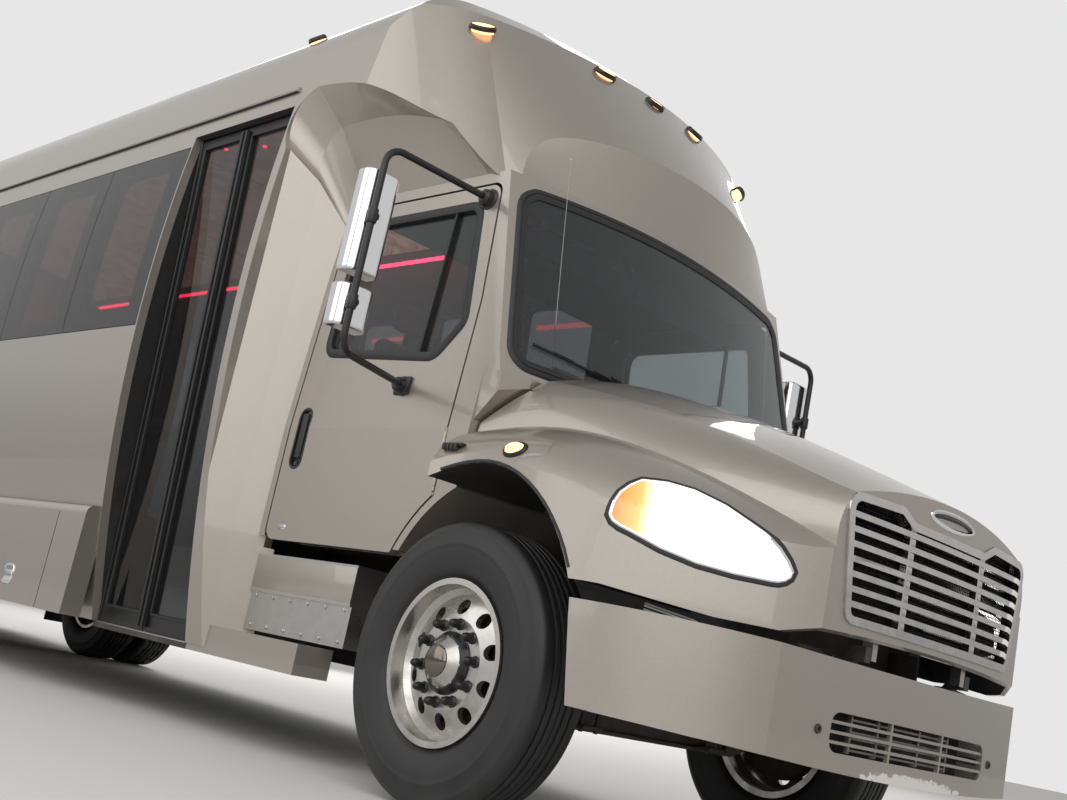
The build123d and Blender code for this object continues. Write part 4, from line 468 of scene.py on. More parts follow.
hub_black = finish("hub_black", (0.01, 0.01, 0.011), rough=0.35)
lay(hub_black, pebble, {"Scale": 260.0}, bump=0.2)
drum_iron = finish("drum_iron", (0.03, 0.026, 0.023), metal=0.5, rough=0.7)
dusty(drum_iron, (0.03, 0.026, 0.024), 0.2, 0.9, 0.7, 0.65, 0.9, scale=20.0, dust=(0.12, 0.07, 0.04, 1))
FRONT_FACE = 1.092
REAR_FACE = 0.942
STUD_RING = 0.143


def nut_cover():
    """Black cap that covers a wheel nut and ends in a blunt point."""
    bm = bmesh.new()
    lathe(bm, [(0, 0), (0.021, 0), (0.022, 0.004), (0.0175, 0.009), (0.0165, 0.03), (0.012, 0.046),
               (0.005, 0.053), (0, 0.054)], sides=12)
    return bm


for tag, s in (("right", -1), ("left", 1)):
    front = side_turn(FRONT_AXLE, s * FRONT_FACE, AXLE_Z, s)
    rear = side_turn(REAR_AXLE, s * REAR_FACE, AXLE_Z, s)
    for end, face, body in (("front", front, "front_wheel_" + tag), ("rear", rear, "rear_wheels_" + tag)):
        covers = repeat(in_ring, nut_cover(), hub_black, [face @ Matrix.Rotation(0.15, 4, "Z")], Count=10,
                        Radius=STUD_RING)
        solid("nut_covers_" + end + "_" + tag, covers, hub_black, body)
    hub = bmesh.new()
    lathe(hub, [(0, -0.03), (0.103, -0.03), (0.112, 0.0), (0.113, 0.006), (0.096, 0.026), (0.066, 0.03),
                (0.064, 0.034), (0, 0.034)], front, 48)
    solid("hub_face_" + tag, hub, hub_black, "front_wheel_" + tag)
    dome = bmesh.new()
    lathe(dome, [(0, 0.03), (0.062, 0.03), (0.062, 0.042), (0.059, 0.046), (0.0575, 0.062), (0.050, 0.069),
                 (0.030, 0.0735), (0, 0.075)], front, 48)
    solid("hub_dome_" + tag, dome, hub_chrome_painted_dark, "front_wheel_" + tag)
    screws = repeat(in_ring, bolt(0.006, 0.008), chrome, [front @ Matrix.Translation((0, 0, 0.019))], Count=8,
                    Radius=0.088)
    solid("hub_screws_" + tag, screws, chrome, "front_wheel_" + tag)
    rear_cap = bmesh.new()
    lathe(rear_cap, [(0, 0.128), (0.075, 0.128), (0.078, 0.136), (0.070, 0.141), (0.028, 0.143), (0.02, 0.15),
                     (0, 0.151)], rear, 32)
    solid("axle_flange_" + tag, rear_cap, hub_black, "rear_wheels_" + tag)
    drums = bmesh.new()
    lathe(drums, [(0, -0.132), (0.205, -0.132), (0.214, -0.126), (0.214, -0.08), (0.20, -0.072), (0, -0.072)],
          front, 48)
    solid("brake_drum_front_" + tag, drums, drum_iron, "front_wheel_" + tag)
    drums = bmesh.new()
    lathe(drums, [(0.1, -0.34), (0.205, -0.34), (0.214, -0.33), (0.214, -0.16), (0.20, -0.148),
                  (0.1, -0.148)],
          rear, 48)
    solid("brake_drum_rear_" + tag, drums, drum_iron, "rear_wheels_" + tag)

# Tyres: black rubber with bowed side walls, ribbed treads in front and lugged ones behind.
# The tread's grooves run round; each is a shade deeper than a thumb nail is wide.
rubber = finish("tyre_rubber", (0.012, 0.012, 0.013), rough=0.62)
dusty(rubber, (0.012, 0.012, 0.013), 0.0, 0.9, 0.3, 0.5, 0.85, scale=9.0, dust=(0.06, 0.055, 0.05, 1))
lay(rubber, pebble, {"Scale": 420.0}, bump=0.12)
TYRE_R = 0.512
TYRE_HALF = 0.1395
BEAD_HALF = 0.101
RIM_R = 0.301
GROOVE = 0.011
TREAD_HALF = 0.098
# side wall from the bead out: distance from the middle, radius
WALL = [(BEAD_HALF, 0.2845), (BEAD_HALF, RIM_R), (0.108, 0.306), (0.1115, 0.313), (0.1165, 0.316),
        (0.1265, 0.332),
        (0.1275, 0.336), (0.1335, 0.355), (0.1385, 0.385), (TYRE_HALF, 0.402), (0.1392, 0.416),
        (0.1400, 0.419),
        (0.1400, 0.424), (0.1388, 0.427), (0.1345, 0.455), (0.1285, 0.474), (0.1290, 0.478), (0.1255, 0.484),
        (0.1195, 0.494), (0.1150, 0.500), (0.1080, 0.5065)]
RIB_FRONT = [0.0, 0.029, 0.063]
SEGMENTS = 120


def tread(lugs):
    """Half of the tread's profile from the shoulder in: (distance, radius, depth when cut by a lug's gap)."""
    crown = [(TREAD_HALF, TYRE_R - 0.0025, lugs * 0.010)]
    for middle in reversed(RIB_FRONT):
        w = 0.0048 if middle else 0.0
        crown += [(middle + w + 0.004, TYRE_R - 0.0008, lugs * 0.009),
                  (middle + w + 0.0012, TYRE_R - 0.002, 0),
                  (middle + w * 0.6, TYRE_R - GROOVE, 0)]
        if middle:
            crown += [(middle - w * 0.6, TYRE_R - GROOVE, 0), (middle - w - 0.0012, TYRE_R - 0.002, 0),
                      (middle - w - 0.004, TYRE_R - 0.0008, lugs * 0.009)]
    return crown


def tyre(bm, x, middle, lugs):
    """Closed tyre about the axle: both halves of the profile, swept round."""
    half = [(w, r, 0.0) for w, r in WALL] + tread(lugs)
    half = [p for p in half if p[0] > 0.0035 or p[1] < TYRE_R - 0.005]
    profile = [(-w, r, cut) for w, r, cut in half] + [(w, r, cut) for w, r, cut in reversed(half)]
    rings = []
    for i in range(SEGMENTS):
        a = 2 * math.pi * i / SEGMENTS
        gap = i % 4 == 0
        wave = 0.0012 * (1 if i % 2 else -1)
        ring = []
        for w, r, cut in profile:
            r -= cut if gap else 0
            shift = wave if r > TYRE_R - 0.004 and abs(w) < TREAD_HALF - 0.01 else 0
            ring.append(bm.verts.new((x + r * math.cos(a), middle + w + shift, AXLE_Z + r * math.sin(a))))
        rings.append(ring)
    count = len(profile)
    for here, there in zip(rings, rings[1:] + rings[:1]):
        for k in range(count):
            bm.faces.new((here[k], here[(k + 1) % count], there[(k + 1) % count], there[k]))


for tag, s in (("right", -1), ("left", 1)):
    bm = bmesh.new()
    tyre(bm, FRONT_AXLE, s * (1.126 - 0.1175), 0)
    piece = solid("tyre_ribbed_" + tag, bm, rubber, "front_wheel_" + tag, 40)
    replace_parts(piece, "tyre_front_" + tag)
    bm = bmesh.new()
    for middle in (1.085, 0.755):
        tyre(bm, REAR_AXLE, s * middle, 1)
    piece = solid("tyres_lugged_" + tag, bm, rubber, "rear_wheels_" + tag, 40)
    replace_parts(piece, "tyres_rear_" + tag)

# Coach body and caps: panels sprayed pewter over steel and moulded plastic, clear coated;
# inside they are lined in dark cloth. Thin black joints show where the panels meet.
PEWTER = (0.345, 0.31, 0.272)
paint_skin, given, out = group(
    "paint_skin", {"Paint": "Color", "Flake": "Color", "Lining": "Color", "Middle": "Float", "Edge": "Float",
                   "Peel": "Float", "Band Back": "Float", "Band Front": "Float"},
    {"Color": "Color", "Metallic": "Float", "Gloss": "Float", "Roughness": "Float", "Height": "Float"})
coords = node(paint_skin, "TexCoord")
place = coords.outputs["Object"]
flakes = node(paint_skin, "TexVoronoi", {"Scale": 700.0}, {"Vector": place})
tone = node(paint_skin, "SeparateColor", links={0: flakes.outputs["Color"]}).outputs[0]
share = node(paint_skin, "Math", {1: 0.35}, {0: tone}, operation="MULTIPLY").outputs[0]
sprayed = blended(paint_skin, share, given["Paint"], given["Flake"])
axes = node(paint_skin, "SeparateXYZ", links={0: place})
raised = node(paint_skin, "Math", links={0: axes.outputs["Z"], 1: given["Middle"]}, operation="SUBTRACT")
spoke = node(paint_skin, "CombineXYZ", links={"Y": axes.outputs["Y"], "Z": raised.outputs[0]})
facing = node(paint_skin, "VectorMath", links={0: coords.outputs["Normal"], 1: spoke.outputs[0]},
              operation="DOT_PRODUCT").outputs["Value"]
outside = node(paint_skin, "Math", links={0: facing, 1: given["Edge"]}, operation="GREATER_THAN").outputs[0]
BAND_LOW, BAND_TOP = 1.881, 2.904
banded = None
for axis, limit, way in (("Z", BAND_LOW, "GREATER_THAN"), ("Z", BAND_TOP, "LESS_THAN"),
                         ("X", "Band Back", "GREATER_THAN"), ("X", "Band Front", "LESS_THAN")):
    test = node(paint_skin, "Math", links={0: axes.outputs[axis]}, operation=way)
    if isinstance(limit, str):
        paint_skin.links.new(given[limit], test.inputs[1])
    else:
        test.inputs[1].default_value = limit
    banded = test.outputs[0] if banded is None else node(
        paint_skin, "Math", links={0: banded, 1: test.outputs[0]}, operation="MULTIPLY").outputs[0]
outside = node(paint_skin, "Math", links={0: outside, 1: banded}, operation="SUBTRACT",
               use_clamp=True).outputs[0]
paint_skin.links.new(blended(paint_skin, outside, given["Lining"], sprayed), out["Color"])
metal = node(paint_skin, "Math", {1: 0.7}, {0: outside}, operation="MULTIPLY")
paint_skin.links.new(metal.outputs[0], out["Metallic"])
paint_skin.links.new(outside, out["Gloss"])
soft = node(paint_skin, "MapRange", {"To Min": 0.85, "To Max": 0.4}, {"Value": outside})
paint_skin.links.new(soft.outputs[0], out["Roughness"])
peel = node(paint_skin, "TexNoise", {"Detail": 2.0}, {"Vector": place, "Scale": given["Peel"]})
paint_skin.links.new(peel.outputs["Fac"], out["Height"])


def skin(name, lining=-0.4, middle=1.9, band=(-99.0, -99.0)):
    """Pewter paint for one panel: where its lining starts, and where a window band along X is black."""
    made = finish(name, PEWTER, coat=1.0, coat_rough=0.03)
    lay(made, paint_skin, {"Paint": (*PEWTER, 1), "Flake": (0.48, 0.44, 0.395, 1),
                           "Lining": (0.03, 0.03, 0.033, 1),
                           "Middle": middle, "Edge": lining, "Peel": 260.0, "Band Back": band[0],
                           "Band Front": band[1]},
        bump=0.03, Color="Base_Color", Metallic="Metallic", Gloss="Coat_Weight", Roughness="Roughness")
    return made


BAND_BACK = -4.2265
BAND_FRONT = {-1: 1.2025, 1: 2.1105}
for tag, s in (("right", -1), ("left", 1)):
    dress(skin("wall_paint_" + tag, band=(BAND_BACK, BAND_FRONT[s])), "side_wall_" + tag)
coach_paint = skin("coach_paint")
dress(coach_paint, "coach_roof", "rear_cap", "cab_shell", "cab_door_right", "cab_door_left", "skirt_panels")
cap_paint = skin("cap_paint", lining=-50.0)
dress(cap_paint, "front_cap")

BODY_HALF = 1.295
BARREL_R = 7.8
BARREL_Z = 2.062
DOOR_BACK = 1.2145
CAP_BACK = 2.1705
BODY_BACK = -5.1725


def side_y(z, inset=0.0):
    """Half width of the bowed side at height z."""
    return BODY_HALF - BARREL_R + math.sqrt((BARREL_R - inset) ** 2 - (z - BARREL_Z) ** 2)


def sweep(bm, line, profile, closed=True):
    """Carries a closed profile (out, up) along places given as (point, out direction, up direction)."""
    rings = [[bm.verts.new(p + o * a + u * b) for a, b in profile] for p, o, u in line]
    pairs = list(zip(rings, rings[1:])) + ([(rings[-1], rings[0])] if closed else [])
    for here, there in pairs:
        for k in range(len(profile)):
            n = (k + 1) % len(profile)
            bm.faces.new((here[k], here[n], there[n], there[k]))
    if not closed:
        bm.faces.new(rings[0])
        bm.faces.new(rings[-1])


seal_rubber = finish("seal_rubber", (0.012, 0.012, 0.013), rough=0.5)
lay(seal_rubber, pebble, {"Scale": 350.0}, bump=0.15)
trim = bmesh.new()
for s in (-1, 1):
    joint = [Vector((x, s * side_y(3.04), 3.04)) for x in (BODY_BACK + 0.27, 0.0, CAP_BACK - 0.004)]
    sweep(trim, [(p, Vector((0, s, 0)), Vector((0, 0, 1))) for p in joint],
          [(0.001, 0.0), (0.013, 0.004), (0.016, 0.012), (0.012, 0.022), (-0.003, 0.03)], closed=False)
solid("drip_rails", trim, coach_paint, "root")

# Coach windows: dark glass bonded flush into a black band, each pane's rim lit from inside.
# Behind them the ceiling is lined in mottled vinyl that glows with painted red light, with red light strips
# along its edges.
dark_glass = finish("dark_glass", (0.16, 0.16, 0.17), rough=0.02, clear=0.92, ior=1.45)
lay(dark_glass, pebble, {"Scale": 3.0}, bump=0.02, depth=0.004)
dress(dark_glass, "coach_windows")
band_black = finish("band_black", (0.006, 0.006, 0.007), rough=0.3)
lay(band_black, pebble, {"Scale": 200.0}, bump=0.05)


def rounded(corners, steps=5):
    """Points of a closed outline through corners (a, b, radius)."""
    made = []
    for k, (a, b, r) in enumerate(corners):
        here = Vector((a, b))
        before = (Vector(corners[k - 1][:2]) - here).normalized()
        after = (Vector(corners[(k + 1) % len(corners)][:2]) - here).normalized()
        if not r:
            made.append(here)
            continue
        half = math.acos(max(-1.0, min(1.0, before.dot(after)))) / 2
        run = r / math.tan(half)
        centre = here + (before + after).normalized() * (r / math.sin(half))
        start, end = here + before * run - centre, here + after * run - centre
        sweep_angle = math.atan2(start.x * end.y - start.y * end.x, start.dot(end))
        for i in range(steps + 1):
            t = sweep_angle * i / steps
            made.append(centre + Vector((start.x * math.cos(t) - start.y * math.sin(t),
                                         start.x * math.sin(t) + start.y * math.cos(t))))
    return made


def denser(points, gap):
    """The same closed outline with points no farther apart than gap."""
    made = []
    for here, there in zip(points, points[1:] + points[:1]):
        count = max(1, math.ceil((there - here).length / gap))
        made += [here.lerp(there, i / count) for i in range(count)]
    return made


def loop_on(points, lift, up_at):
    """Places for sweep: an outline lifted onto a surface, its out directions lying in the surface."""
    lifted = [lift(p) for p in points]
    made = []
    for k, here in enumerate(lifted):
        tangent = (lifted[(k + 1) % len(lifted)] - lifted[k - 1]).normalized()
        up_here = up_at(here)
        made.append((here, tangent.cross(up_here).normalized(), up_here))
    middle = sum(lifted, Vector()) / len(lifted)
    if sum((p - middle).dot(o) for p, o, _ in made) < 0:
        made = [(p, -o, u) for p, o, u in made]
    return made


PANE_PITCH = 0.905
HOLE = (0.32, 1.94, 2.83)
rims = bmesh.new()
for s, count in ((-1, 6), (1, 7)):
    for i in range(count):
        middle = BAND_FRONT[s] - PANE_PITCH * (i + 0.5)
        w, low, high = HOLE
        hole = rounded([(middle - w, low, 0.06), (middle + w, low, 0.06), (middle + w, high, 0.06),
                        (middle - w, high, 0.06)])
        line = loop_on(denser(hole, 0.2), lambda p: Vector((p.x, s * side_y(p.y, 0.0065), p.y)),
                       lambda p: Vector((0, s, 0)))
        sweep(rims, line, [(-0.014, -0.001), (0.012, -0.001), (0.012, -0.03), (-0.014, -0.05)])
solid("window_rims", rims, band_black, "root")

# the ceiling is no lamp: its emission, in the mottle's own colours, is painted red light
ceiling_vinyl_painted_glow = finish("ceiling_vinyl_painted_glow", (0.42, 0.20, 0.15), rough=0.5, glow=(0.9, 0.25, 0.16), strength=0.55)
tree = ceiling_vinyl_painted_glow.node_tree
place = node(tree, "TexCoord").outputs["Object"]
swirl = node(tree, "TexNoise", {"Scale": 5.0, "Detail": 8.0, "Roughness": 0.7, "Distortion": 1.5},
             {"Vector": place})
shades = node(tree, "ValToRGB", links={"Fac": swirl.outputs["Fac"]})
for element, position, shade in zip(shades.color_ramp.elements, (0.35, 0.65),
                                    ((0.30, 0.08, 0.06), (0.75, 0.45, 0.33))):
    element.position = position
    element.color = (*shade, 1)
tree.links.new(shades.outputs["Color"], tree.nodes["Principled BSDF"].inputs["Base Color"])
tree.links.new(shades.outputs["Color"], tree.nodes["Principled BSDF"].inputs["Emission Color"])
lay(ceiling_vinyl_painted_glow, pebble, {"Scale": 120.0}, bump=0.3)
ceiling = bmesh.new()
for x0, x1 in ((-4.85, -3.35), (-3.3, -1.8), (-1.75, -0.25), (-0.2, 1.15), (1.2, 2.12)):
    line = [(Vector((x, 0, 0)), Vector((0, 1, 0)), Vector((0, 0, 1))) for x in (x0, x1)]
    arch = [(1.02 * math.sin(a), 3.28 + 0.135 * math.cos(a))
            for a in (math.radians(d) for d in range(-90, 91, 15))]
    sweep(ceiling, line, arch + [(y * 0.99, z - 0.012) for y, z in reversed(arch)], closed=False)
solid("ceiling_panels", ceiling, ceiling_vinyl_painted_glow, "root")
red_glow = finish("red_light_strip", (0.8, 0.05, 0.1), rough=0.4, glow=(1.0, 0.02, 0.07), strength=9.0)
lay(red_glow, pebble, {"Scale": 90.0}, bump=0.1)
strips = bmesh.new()
for s in (-1, 1):
    slab(strips, (-4.9, s * 1.09 - 0.012, 3.215), (2.1, s * 1.09 + 0.012, 3.235), 0.004)
    slab(strips, (-4.5, s * 0.74 - 0.008, 1.10), (1.0, s * 0.74 + 0.008, 1.112), 0.003)
for x, y, z in ((1.62, -1.05, 2.93), (2.1, -0.98, 2.9), (0.9, -0.9, 3.1)):
    lathe(strips, [(0, 0), (0.012, 0), (0.012, 0.006), (0.006, 0.012), (0, 0.013)],
          Matrix.Translation((x, y, z)) @ Matrix.Rotation(math.pi, 4, "X"), 12)
solid("light_strips", strips, red_glow, "root")

floor_black = finish("floor_black", (0.02, 0.02, 0.022), rough=0.5)
tree = floor_black.node_tree
place = node(tree, "TexCoord").outputs["Object"]
fleck = node(tree, "TexVoronoi", {"Scale": 60.0}, {"Vector": place})
dots = node(tree, "ValToRGB", links={"Fac": fleck.outputs["Distance"]})
for element, position, shade in zip(dots.color_ramp.elements, (0.12, 0.2), (0.16, 0.02)):
    element.position = position
    element.color = (shade, shade, shade, 1)
tree.links.new(dots.outputs["Color"], tree.nodes["Principled BSDF"].inputs["Base Color"])
lay(floor_black, pebble, {"Scale": 150.0}, bump=0.2)
dress(floor_black, "coach_floor")

# Marker lamps: lit amber ovals in thin dark bezels, five over the brow, one on each roof
# corner, and a row of five at the back; each bezel is screwed over its lens.
amber = finish("amber_lens", (0.9, 0.35, 0.08), rough=0.2, glow=(1.0, 0.36, 0.08), strength=2.8)
tree = amber.node_tree
ribs = node(tree, "TexWave", {"Scale": 60.0}, {"Vector": node(tree, "TexCoord").outputs["Object"]},
            bands_direction="Y")
heat = node(tree, "ValToRGB", links={"Fac": ribs.outputs["Fac"]})
for element, shade in zip(heat.color_ramp.elements, ((1.0, 0.30, 0.05), (1.0, 0.72, 0.42))):
    element.color = (*shade, 1)
tree.links.new(heat.outputs["Color"], tree.nodes["Principled BSDF"].inputs["Emission Color"])
dress(amber, "marker_lamps")
BEZEL = [(0.0005, -0.004), (0.0005, 0.017), (0.003, 0.019), (0.008, 0.013), (0.0115, 0.004), (0.0115, -0.004)]


def oval(bm, place, facing, sideways, profile, a=0.052, b=0.027, sides=40):
    """Carries a profile round an oval that faces a direction."""
    facing = Vector(facing).normalized()
    sideways = Vector(sideways).normalized()
    upright = facing.cross(sideways)
    line = []
    for i in range(sides):
        t = 2 * math.pi * i / sides
        point = Vector(place) + sideways * (a * math.cos(t)) + upright * (b * math.sin(t))
        outward = (sideways * (b * math.cos(t)) + upright * (a * math.sin(t))).normalized()
        line.append((point, outward, facing))
    sweep(bm, line, profile)


bezels = bmesh.new()
for x, y, z, nx, ny, nz in ((-0.618, 0, 3.324, 0.62, 0, 0.78), (-0.64, -0.339, 3.326, 0.62, -0.1, 0.78),
                            (-0.64, 0.339, 3.326, 0.62, 0.1, 0.78), (-0.815, -0.965, 3.285, 0.5, -0.45, 0.74),
                            (-0.815, 0.965, 3.285, 0.5, 0.45, 0.74), (-1.96, -1.12, 3.418, 0, -0.64, 0.77),
                            (-1.96, 1.12, 3.418, 0, 0.64, 0.77)):
    oval(bezels, (FRONT_AXLE + x, y, z), (nx, ny, nz), (-ny, nx, 0) if nx else (1, 0, 0), BEZEL)
for y in (-0.85, -0.17, 0, 0.17, 0.85):
    oval(bezels, (BODY_BACK - 0.002, y, 3.32), (-1, 0, 0), (0, 1, 0), BEZEL)
bezel_black = finish("bezel_black", (0.02, 0.018, 0.016), metal=0.3, rough=0.3)
lay(bezel_black, pebble, {"Scale": 240.0}, bump=0.1)
solid("marker_bezels", bezels, bezel_black, "root")

# Entrance: two narrow glazed leaves that fold outwards in a black surround, edged with ribbed
# rubber where they meet; inside, three rubber-topped steps with alloy nosings and grab rails.
leaf_black = finish("leaf_black", (0.012, 0.013, 0.014), metal=0.3, rough=0.32)
lay(leaf_black, pebble, {"Scale": 500.0}, bump=0.1)
dress(leaf_black, "entry_leaf_front", "entry_leaf_rear")
plastic_black = finish("plastic_black", (0.013, 0.013, 0.014), rough=0.5)
dusty(plastic_black, (0.013, 0.013, 0.014), 0.3, 1.4, 0.35, 0.46, 0.8)
lay(plastic_black, pebble, {"Scale": 400.0}, bump=0.25)
dress(plastic_black, "entry_surround", "entry_steps", "wheel_housings")
leaf_glass = finish("leaf_glass", (0.14, 0.145, 0.155), rough=0.02, clear=0.95, ior=1.45)
lay(leaf_glass, pebble, {"Scale": 3.0}, bump=0.02, depth=0.004)
dress(leaf_glass, "entry_glass_front", "entry_glass_rear")
SILL_Z = 0.372
LEAF_Y = -1.075
LEAF_W = 0.466
LEAF_H = 2.577
leaning = Matrix.Rotation(math.radians(2.8), 4, "X")
for tag, s, x in (("front", -1, CAP_BACK - 0.008), ("rear", 1, DOOR_BACK + 0.008)):
    stand = Matrix.Translation((x, LEAF_Y, SILL_Z)) @ leaning
    edge = bmesh.new()
    for a, b, y0, y1 in ((0.030, 0.003, -0.016, 0.0), (0.026, 0.006, -0.024, -0.014),
                         (0.030, 0.003, 0.035, 0.046)):
        slab(edge, (min(s * (LEAF_W - a), s * (LEAF_W - b)), y0, 0.02),
             (max(s * (LEAF_W - a), s * (LEAF_W - b)), y1, LEAF_H - 0.02), 0.003, stand)
    solid("leaf_edge_" + tag, edge, seal_rubber, "entry_leaf_" + tag)
    bead = bmesh.new()
    w0, w1, z0, z1 = 0.042, LEAF_W - 0.042, 0.082, LEAF_H - 0.042
    pane = [Vector((s * a, b)) for a, b in ((w0, z0), (w1, z0), (w1, z1), (w0, z1))]
    line = loop_on(denser(pane, 0.4), lambda p: stand @ Vector((p.x, 0, p.y)),
                   lambda p: (stand.to_3x3() @ Vector((0, -1, 0))))
    sweep(bead, line, [(-0.012, -0.014), (-0.012, 0.001), (-0.009, 0.004), (0.006, 0.004), (0.009, 0.0)])
    solid("leaf_bead_" + tag, bead, seal_rubber, "entry_leaf_" + tag)
    grip = [stand @ Vector((s * (LEAF_W - 0.06), y, z))
            for y, z in ((0.03, 0.95), (0.075, 0.95), (0.075, 1.45), (0.03, 1.45))]
    pipe("leaf_grip_" + tag, grip, 0.011, chrome, "entry_leaf_" + tag, bend=0.03)
step_alloy = finish("step_alloy", (0.58, 0.57, 0.55), metal=1.0, rough=0.3)
dusty(step_alloy, (0.58, 0.57, 0.55), 0.3, 1.0, 0.5, 0.27, 0.6, scale=10.0)
nosings = bmesh.new()
for i in range(3):
    y = (LEAF_Y - 0.02) if i == 0 else LEAF_Y + 0.055 + i * 0.205 - 0.06
    z = SILL_Z + i * 0.236 - 0.008
    x0, x1 = DOOR_BACK + 0.03, CAP_BACK - 0.03
    slab(nosings, (x0, y + 0.001, z), (x1, y + 0.05, z + 0.004), 0.0015)
    for k in range(5):
        slab(nosings, (x0, y + 0.006 + k * 0.008, z + 0.003), (x1, y + 0.010 + k * 0.008, z + 0.006), 0.0)
solid("step_nosings", nosings, step_alloy, "root")
for tag, x in (("front", CAP_BACK - 0.07), ("rear", DOOR_BACK + 0.07)):
    rail = [(x, -0.93, 0.85), (x, -0.87, 0.95), (x, -0.62, 1.95), (x, -0.55, 2.0), (x, -0.55, 1.085)]
    pipe("grab_rail_" + tag, rail, 0.015, chrome, "root", bend=0.05)

# Skirts: upright painted panels outside the tucked-in body, with a rolled top edge, a rubber
# lip round each rear arch, a flush latch on a locker door, and mud flaps behind the wheels.
SKIRT_Y = 1.282
latches = bmesh.new()
seams = bmesh.new()
for s in (-1, 1):
    for x in (0.476, -1.2, -4.2):
        line = loop_on([Vector(p) for p in rounded([(x - 0.055, 0.46, 0.02), (x + 0.055, 0.46, 0.02),
                                                     (x + 0.055, 0.56, 0.02), (x - 0.055, 0.56, 0.02)], 3)],
                       lambda p: Vector((p.x, s * SKIRT_Y, p.y)), lambda p: Vector((0, s, 0)))
        sweep(latches, line, [(-0.008, -0.004), (-0.008, 0.004), (0.0, 0.006), (0.004, 0.003),
                              (0.004, -0.004)])
        slab(latches, (x - 0.045, min(s * SKIRT_Y, s * (SKIRT_Y + 0.005)), 0.47),
             (x + 0.045, max(s * SKIRT_Y, s * (SKIRT_Y + 0.005)), 0.53), 0.002)
        for edge in (x - 0.42, x + 0.42):
            slab(seams, (edge - 0.002, min(s * (SKIRT_Y - 0.004), s * (SKIRT_Y + 0.001)), 0.372),
                 (edge + 0.002, max(s * (SKIRT_Y - 0.004), s * (SKIRT_Y + 0.001)), 0.872))
solid("locker_latches", latches, chrome, "root")
solid("locker_seams", seams, seal_rubber, "root")
lips = bmesh.new()
flaps = bmesh.new()
for s in (-1, 1):
    arc = [(Vector((REAR_AXLE + 0.6 * math.cos(a), s * SKIRT_Y, AXLE_Z + 0.6 * math.sin(a))),
            Vector((math.cos(a), 0, math.sin(a))), Vector((0, s, 0)))
           for a in (math.radians(d) for d in range(-12, 193, 6)) if AXLE_Z + 0.6 * math.sin(a) < 0.925]
    parts_of_arc = ([p for p in arc if p[0].x > REAR_AXLE], [p for p in arc if p[0].x < REAR_AXLE])
    for part in parts_of_arc:
        if len(part) > 1:
            sweep(lips, part, [(-0.004, -0.02), (-0.004, 0.006), (0.004, 0.010), (0.018, 0.008),
                               (0.022, 0.001), (0.001, 0.001)], closed=False)
    slab(flaps, (REAR_AXLE - 0.72, min(s * 0.62, s * 1.22), 0.2),
         (REAR_AXLE - 0.712, max(s * 0.62, s * 1.22), 0.92), 0.002)
    for k in range(6):
        y = s * (0.69 + 0.09 * k)
        slab(flaps, (REAR_AXLE - 0.726, y - 0.006, 0.24), (REAR_AXLE - 0.718, y + 0.006, 0.8), 0.002)
solid("arch_lips", lips, seal_rubber, "root")
solid("mud_flaps", flaps, seal_rubber, "root")

# Cab: a steel shell with a one-piece windscreen in a thick black rubber, a dark moulded
# lining, sun visors and a black grab rail on clips; the seals are pushed on over the edge.
clear_glass = finish("clear_glass", (0.42, 0.46, 0.47), rough=0.01, clear=0.97, ior=1.4)
lay(clear_glass, pebble, {"Scale": 2.0}, bump=0.015, depth=0.004)
dress(clear_glass, "windshield", "door_glass_right", "door_glass_left")


def screen_x(y, z):
    """Windscreen's surface ahead of the origin at a place across and up."""
    t = (z - 1.59) / 1.02
    middle, corner = -0.005 - 0.313 * t, -0.15 - 0.297 * t
    return FRONT_AXLE + middle + (corner - middle) * y * y


def on_screen(p):
    """Point of the windscreen's outline, with its bowed lower and upper edges."""
    z = p.y - 0.018 * (1 - (p.x / 0.95) ** 2) if p.y < 1.7 else p.y
    z = z + 0.038 * (1 - (p.x / 0.893) ** 2) if p.y > 2.46 else z
    return Vector((screen_x(p.x, z), p.x, z))


screen_line = loop_on(denser(rounded([(-0.95, 1.692, 0.07), (0.95, 1.692, 0.07), (0.893, 2.467, 0.09),
                                      (-0.893, 2.467, 0.09)], 6), 0.08),
                      on_screen, lambda p: Vector((1, 0.29 * p.y, 0.307)).normalized())
seal = bmesh.new()
sweep(seal, screen_line, [(-0.026, -0.003), (-0.025, 0.004), (-0.010, 0.009), (0.000, 0.0095), (0.003, 0.006),
                          (0.006, 0.0095), (0.018, 0.009), (0.027, 0.003), (0.027, -0.004)])
solid("windscreen_rubber", seal, seal_rubber, "root")

CAB_HALF = 1.02
lining_grey = finish("lining_grey", (0.055, 0.06, 0.065), rough=0.75)
dusty(lining_grey, (0.055, 0.06, 0.065), 0.8, 2.6, 0.3, 0.7, 0.85, scale=20.0)
lay(lining_grey, pebble, {"Scale": 260.0}, bump=0.4)
fitments = bmesh.new()
for y in (-0.45, 0.45):
    slab(fitments, (FRONT_AXLE - 0.62, y - 0.33, 2.33), (FRONT_AXLE - 0.595, y + 0.33, 2.49), 0.01)
slab(fitments, (FRONT_AXLE - 1.2, -0.22, 2.40), (FRONT_AXLE - 0.66, 0.22, 2.495), 0.03)
solid("cab_visors", fitments, lining_grey, "root")
pipe("cab_grab_rail", [(FRONT_AXLE - 0.50, -0.80, 2.40), (FRONT_AXLE - 0.455, -0.74, 2.385),
                       (FRONT_AXLE - 0.42, -0.15, 2.39), (FRONT_AXLE - 0.47, -0.08, 2.42)], 0.009,
     hub_black, "root", bend=0.02)
clips = bmesh.new()
for x, y in ((-0.452, -0.69), (-0.425, -0.22)):
    slab(clips, (FRONT_AXLE + x - 0.035, y - 0.022, 2.372), (FRONT_AXLE + x + 0.012, y + 0.022, 2.44), 0.008)
solid("grab_rail_clips", clips, plastic_black, "root")

# Cab doors: pressed steel, with the window in a black rubber, an upright bar behind the
# quarter light, a black pull in a long oval dish, and a small plate that carries no words.


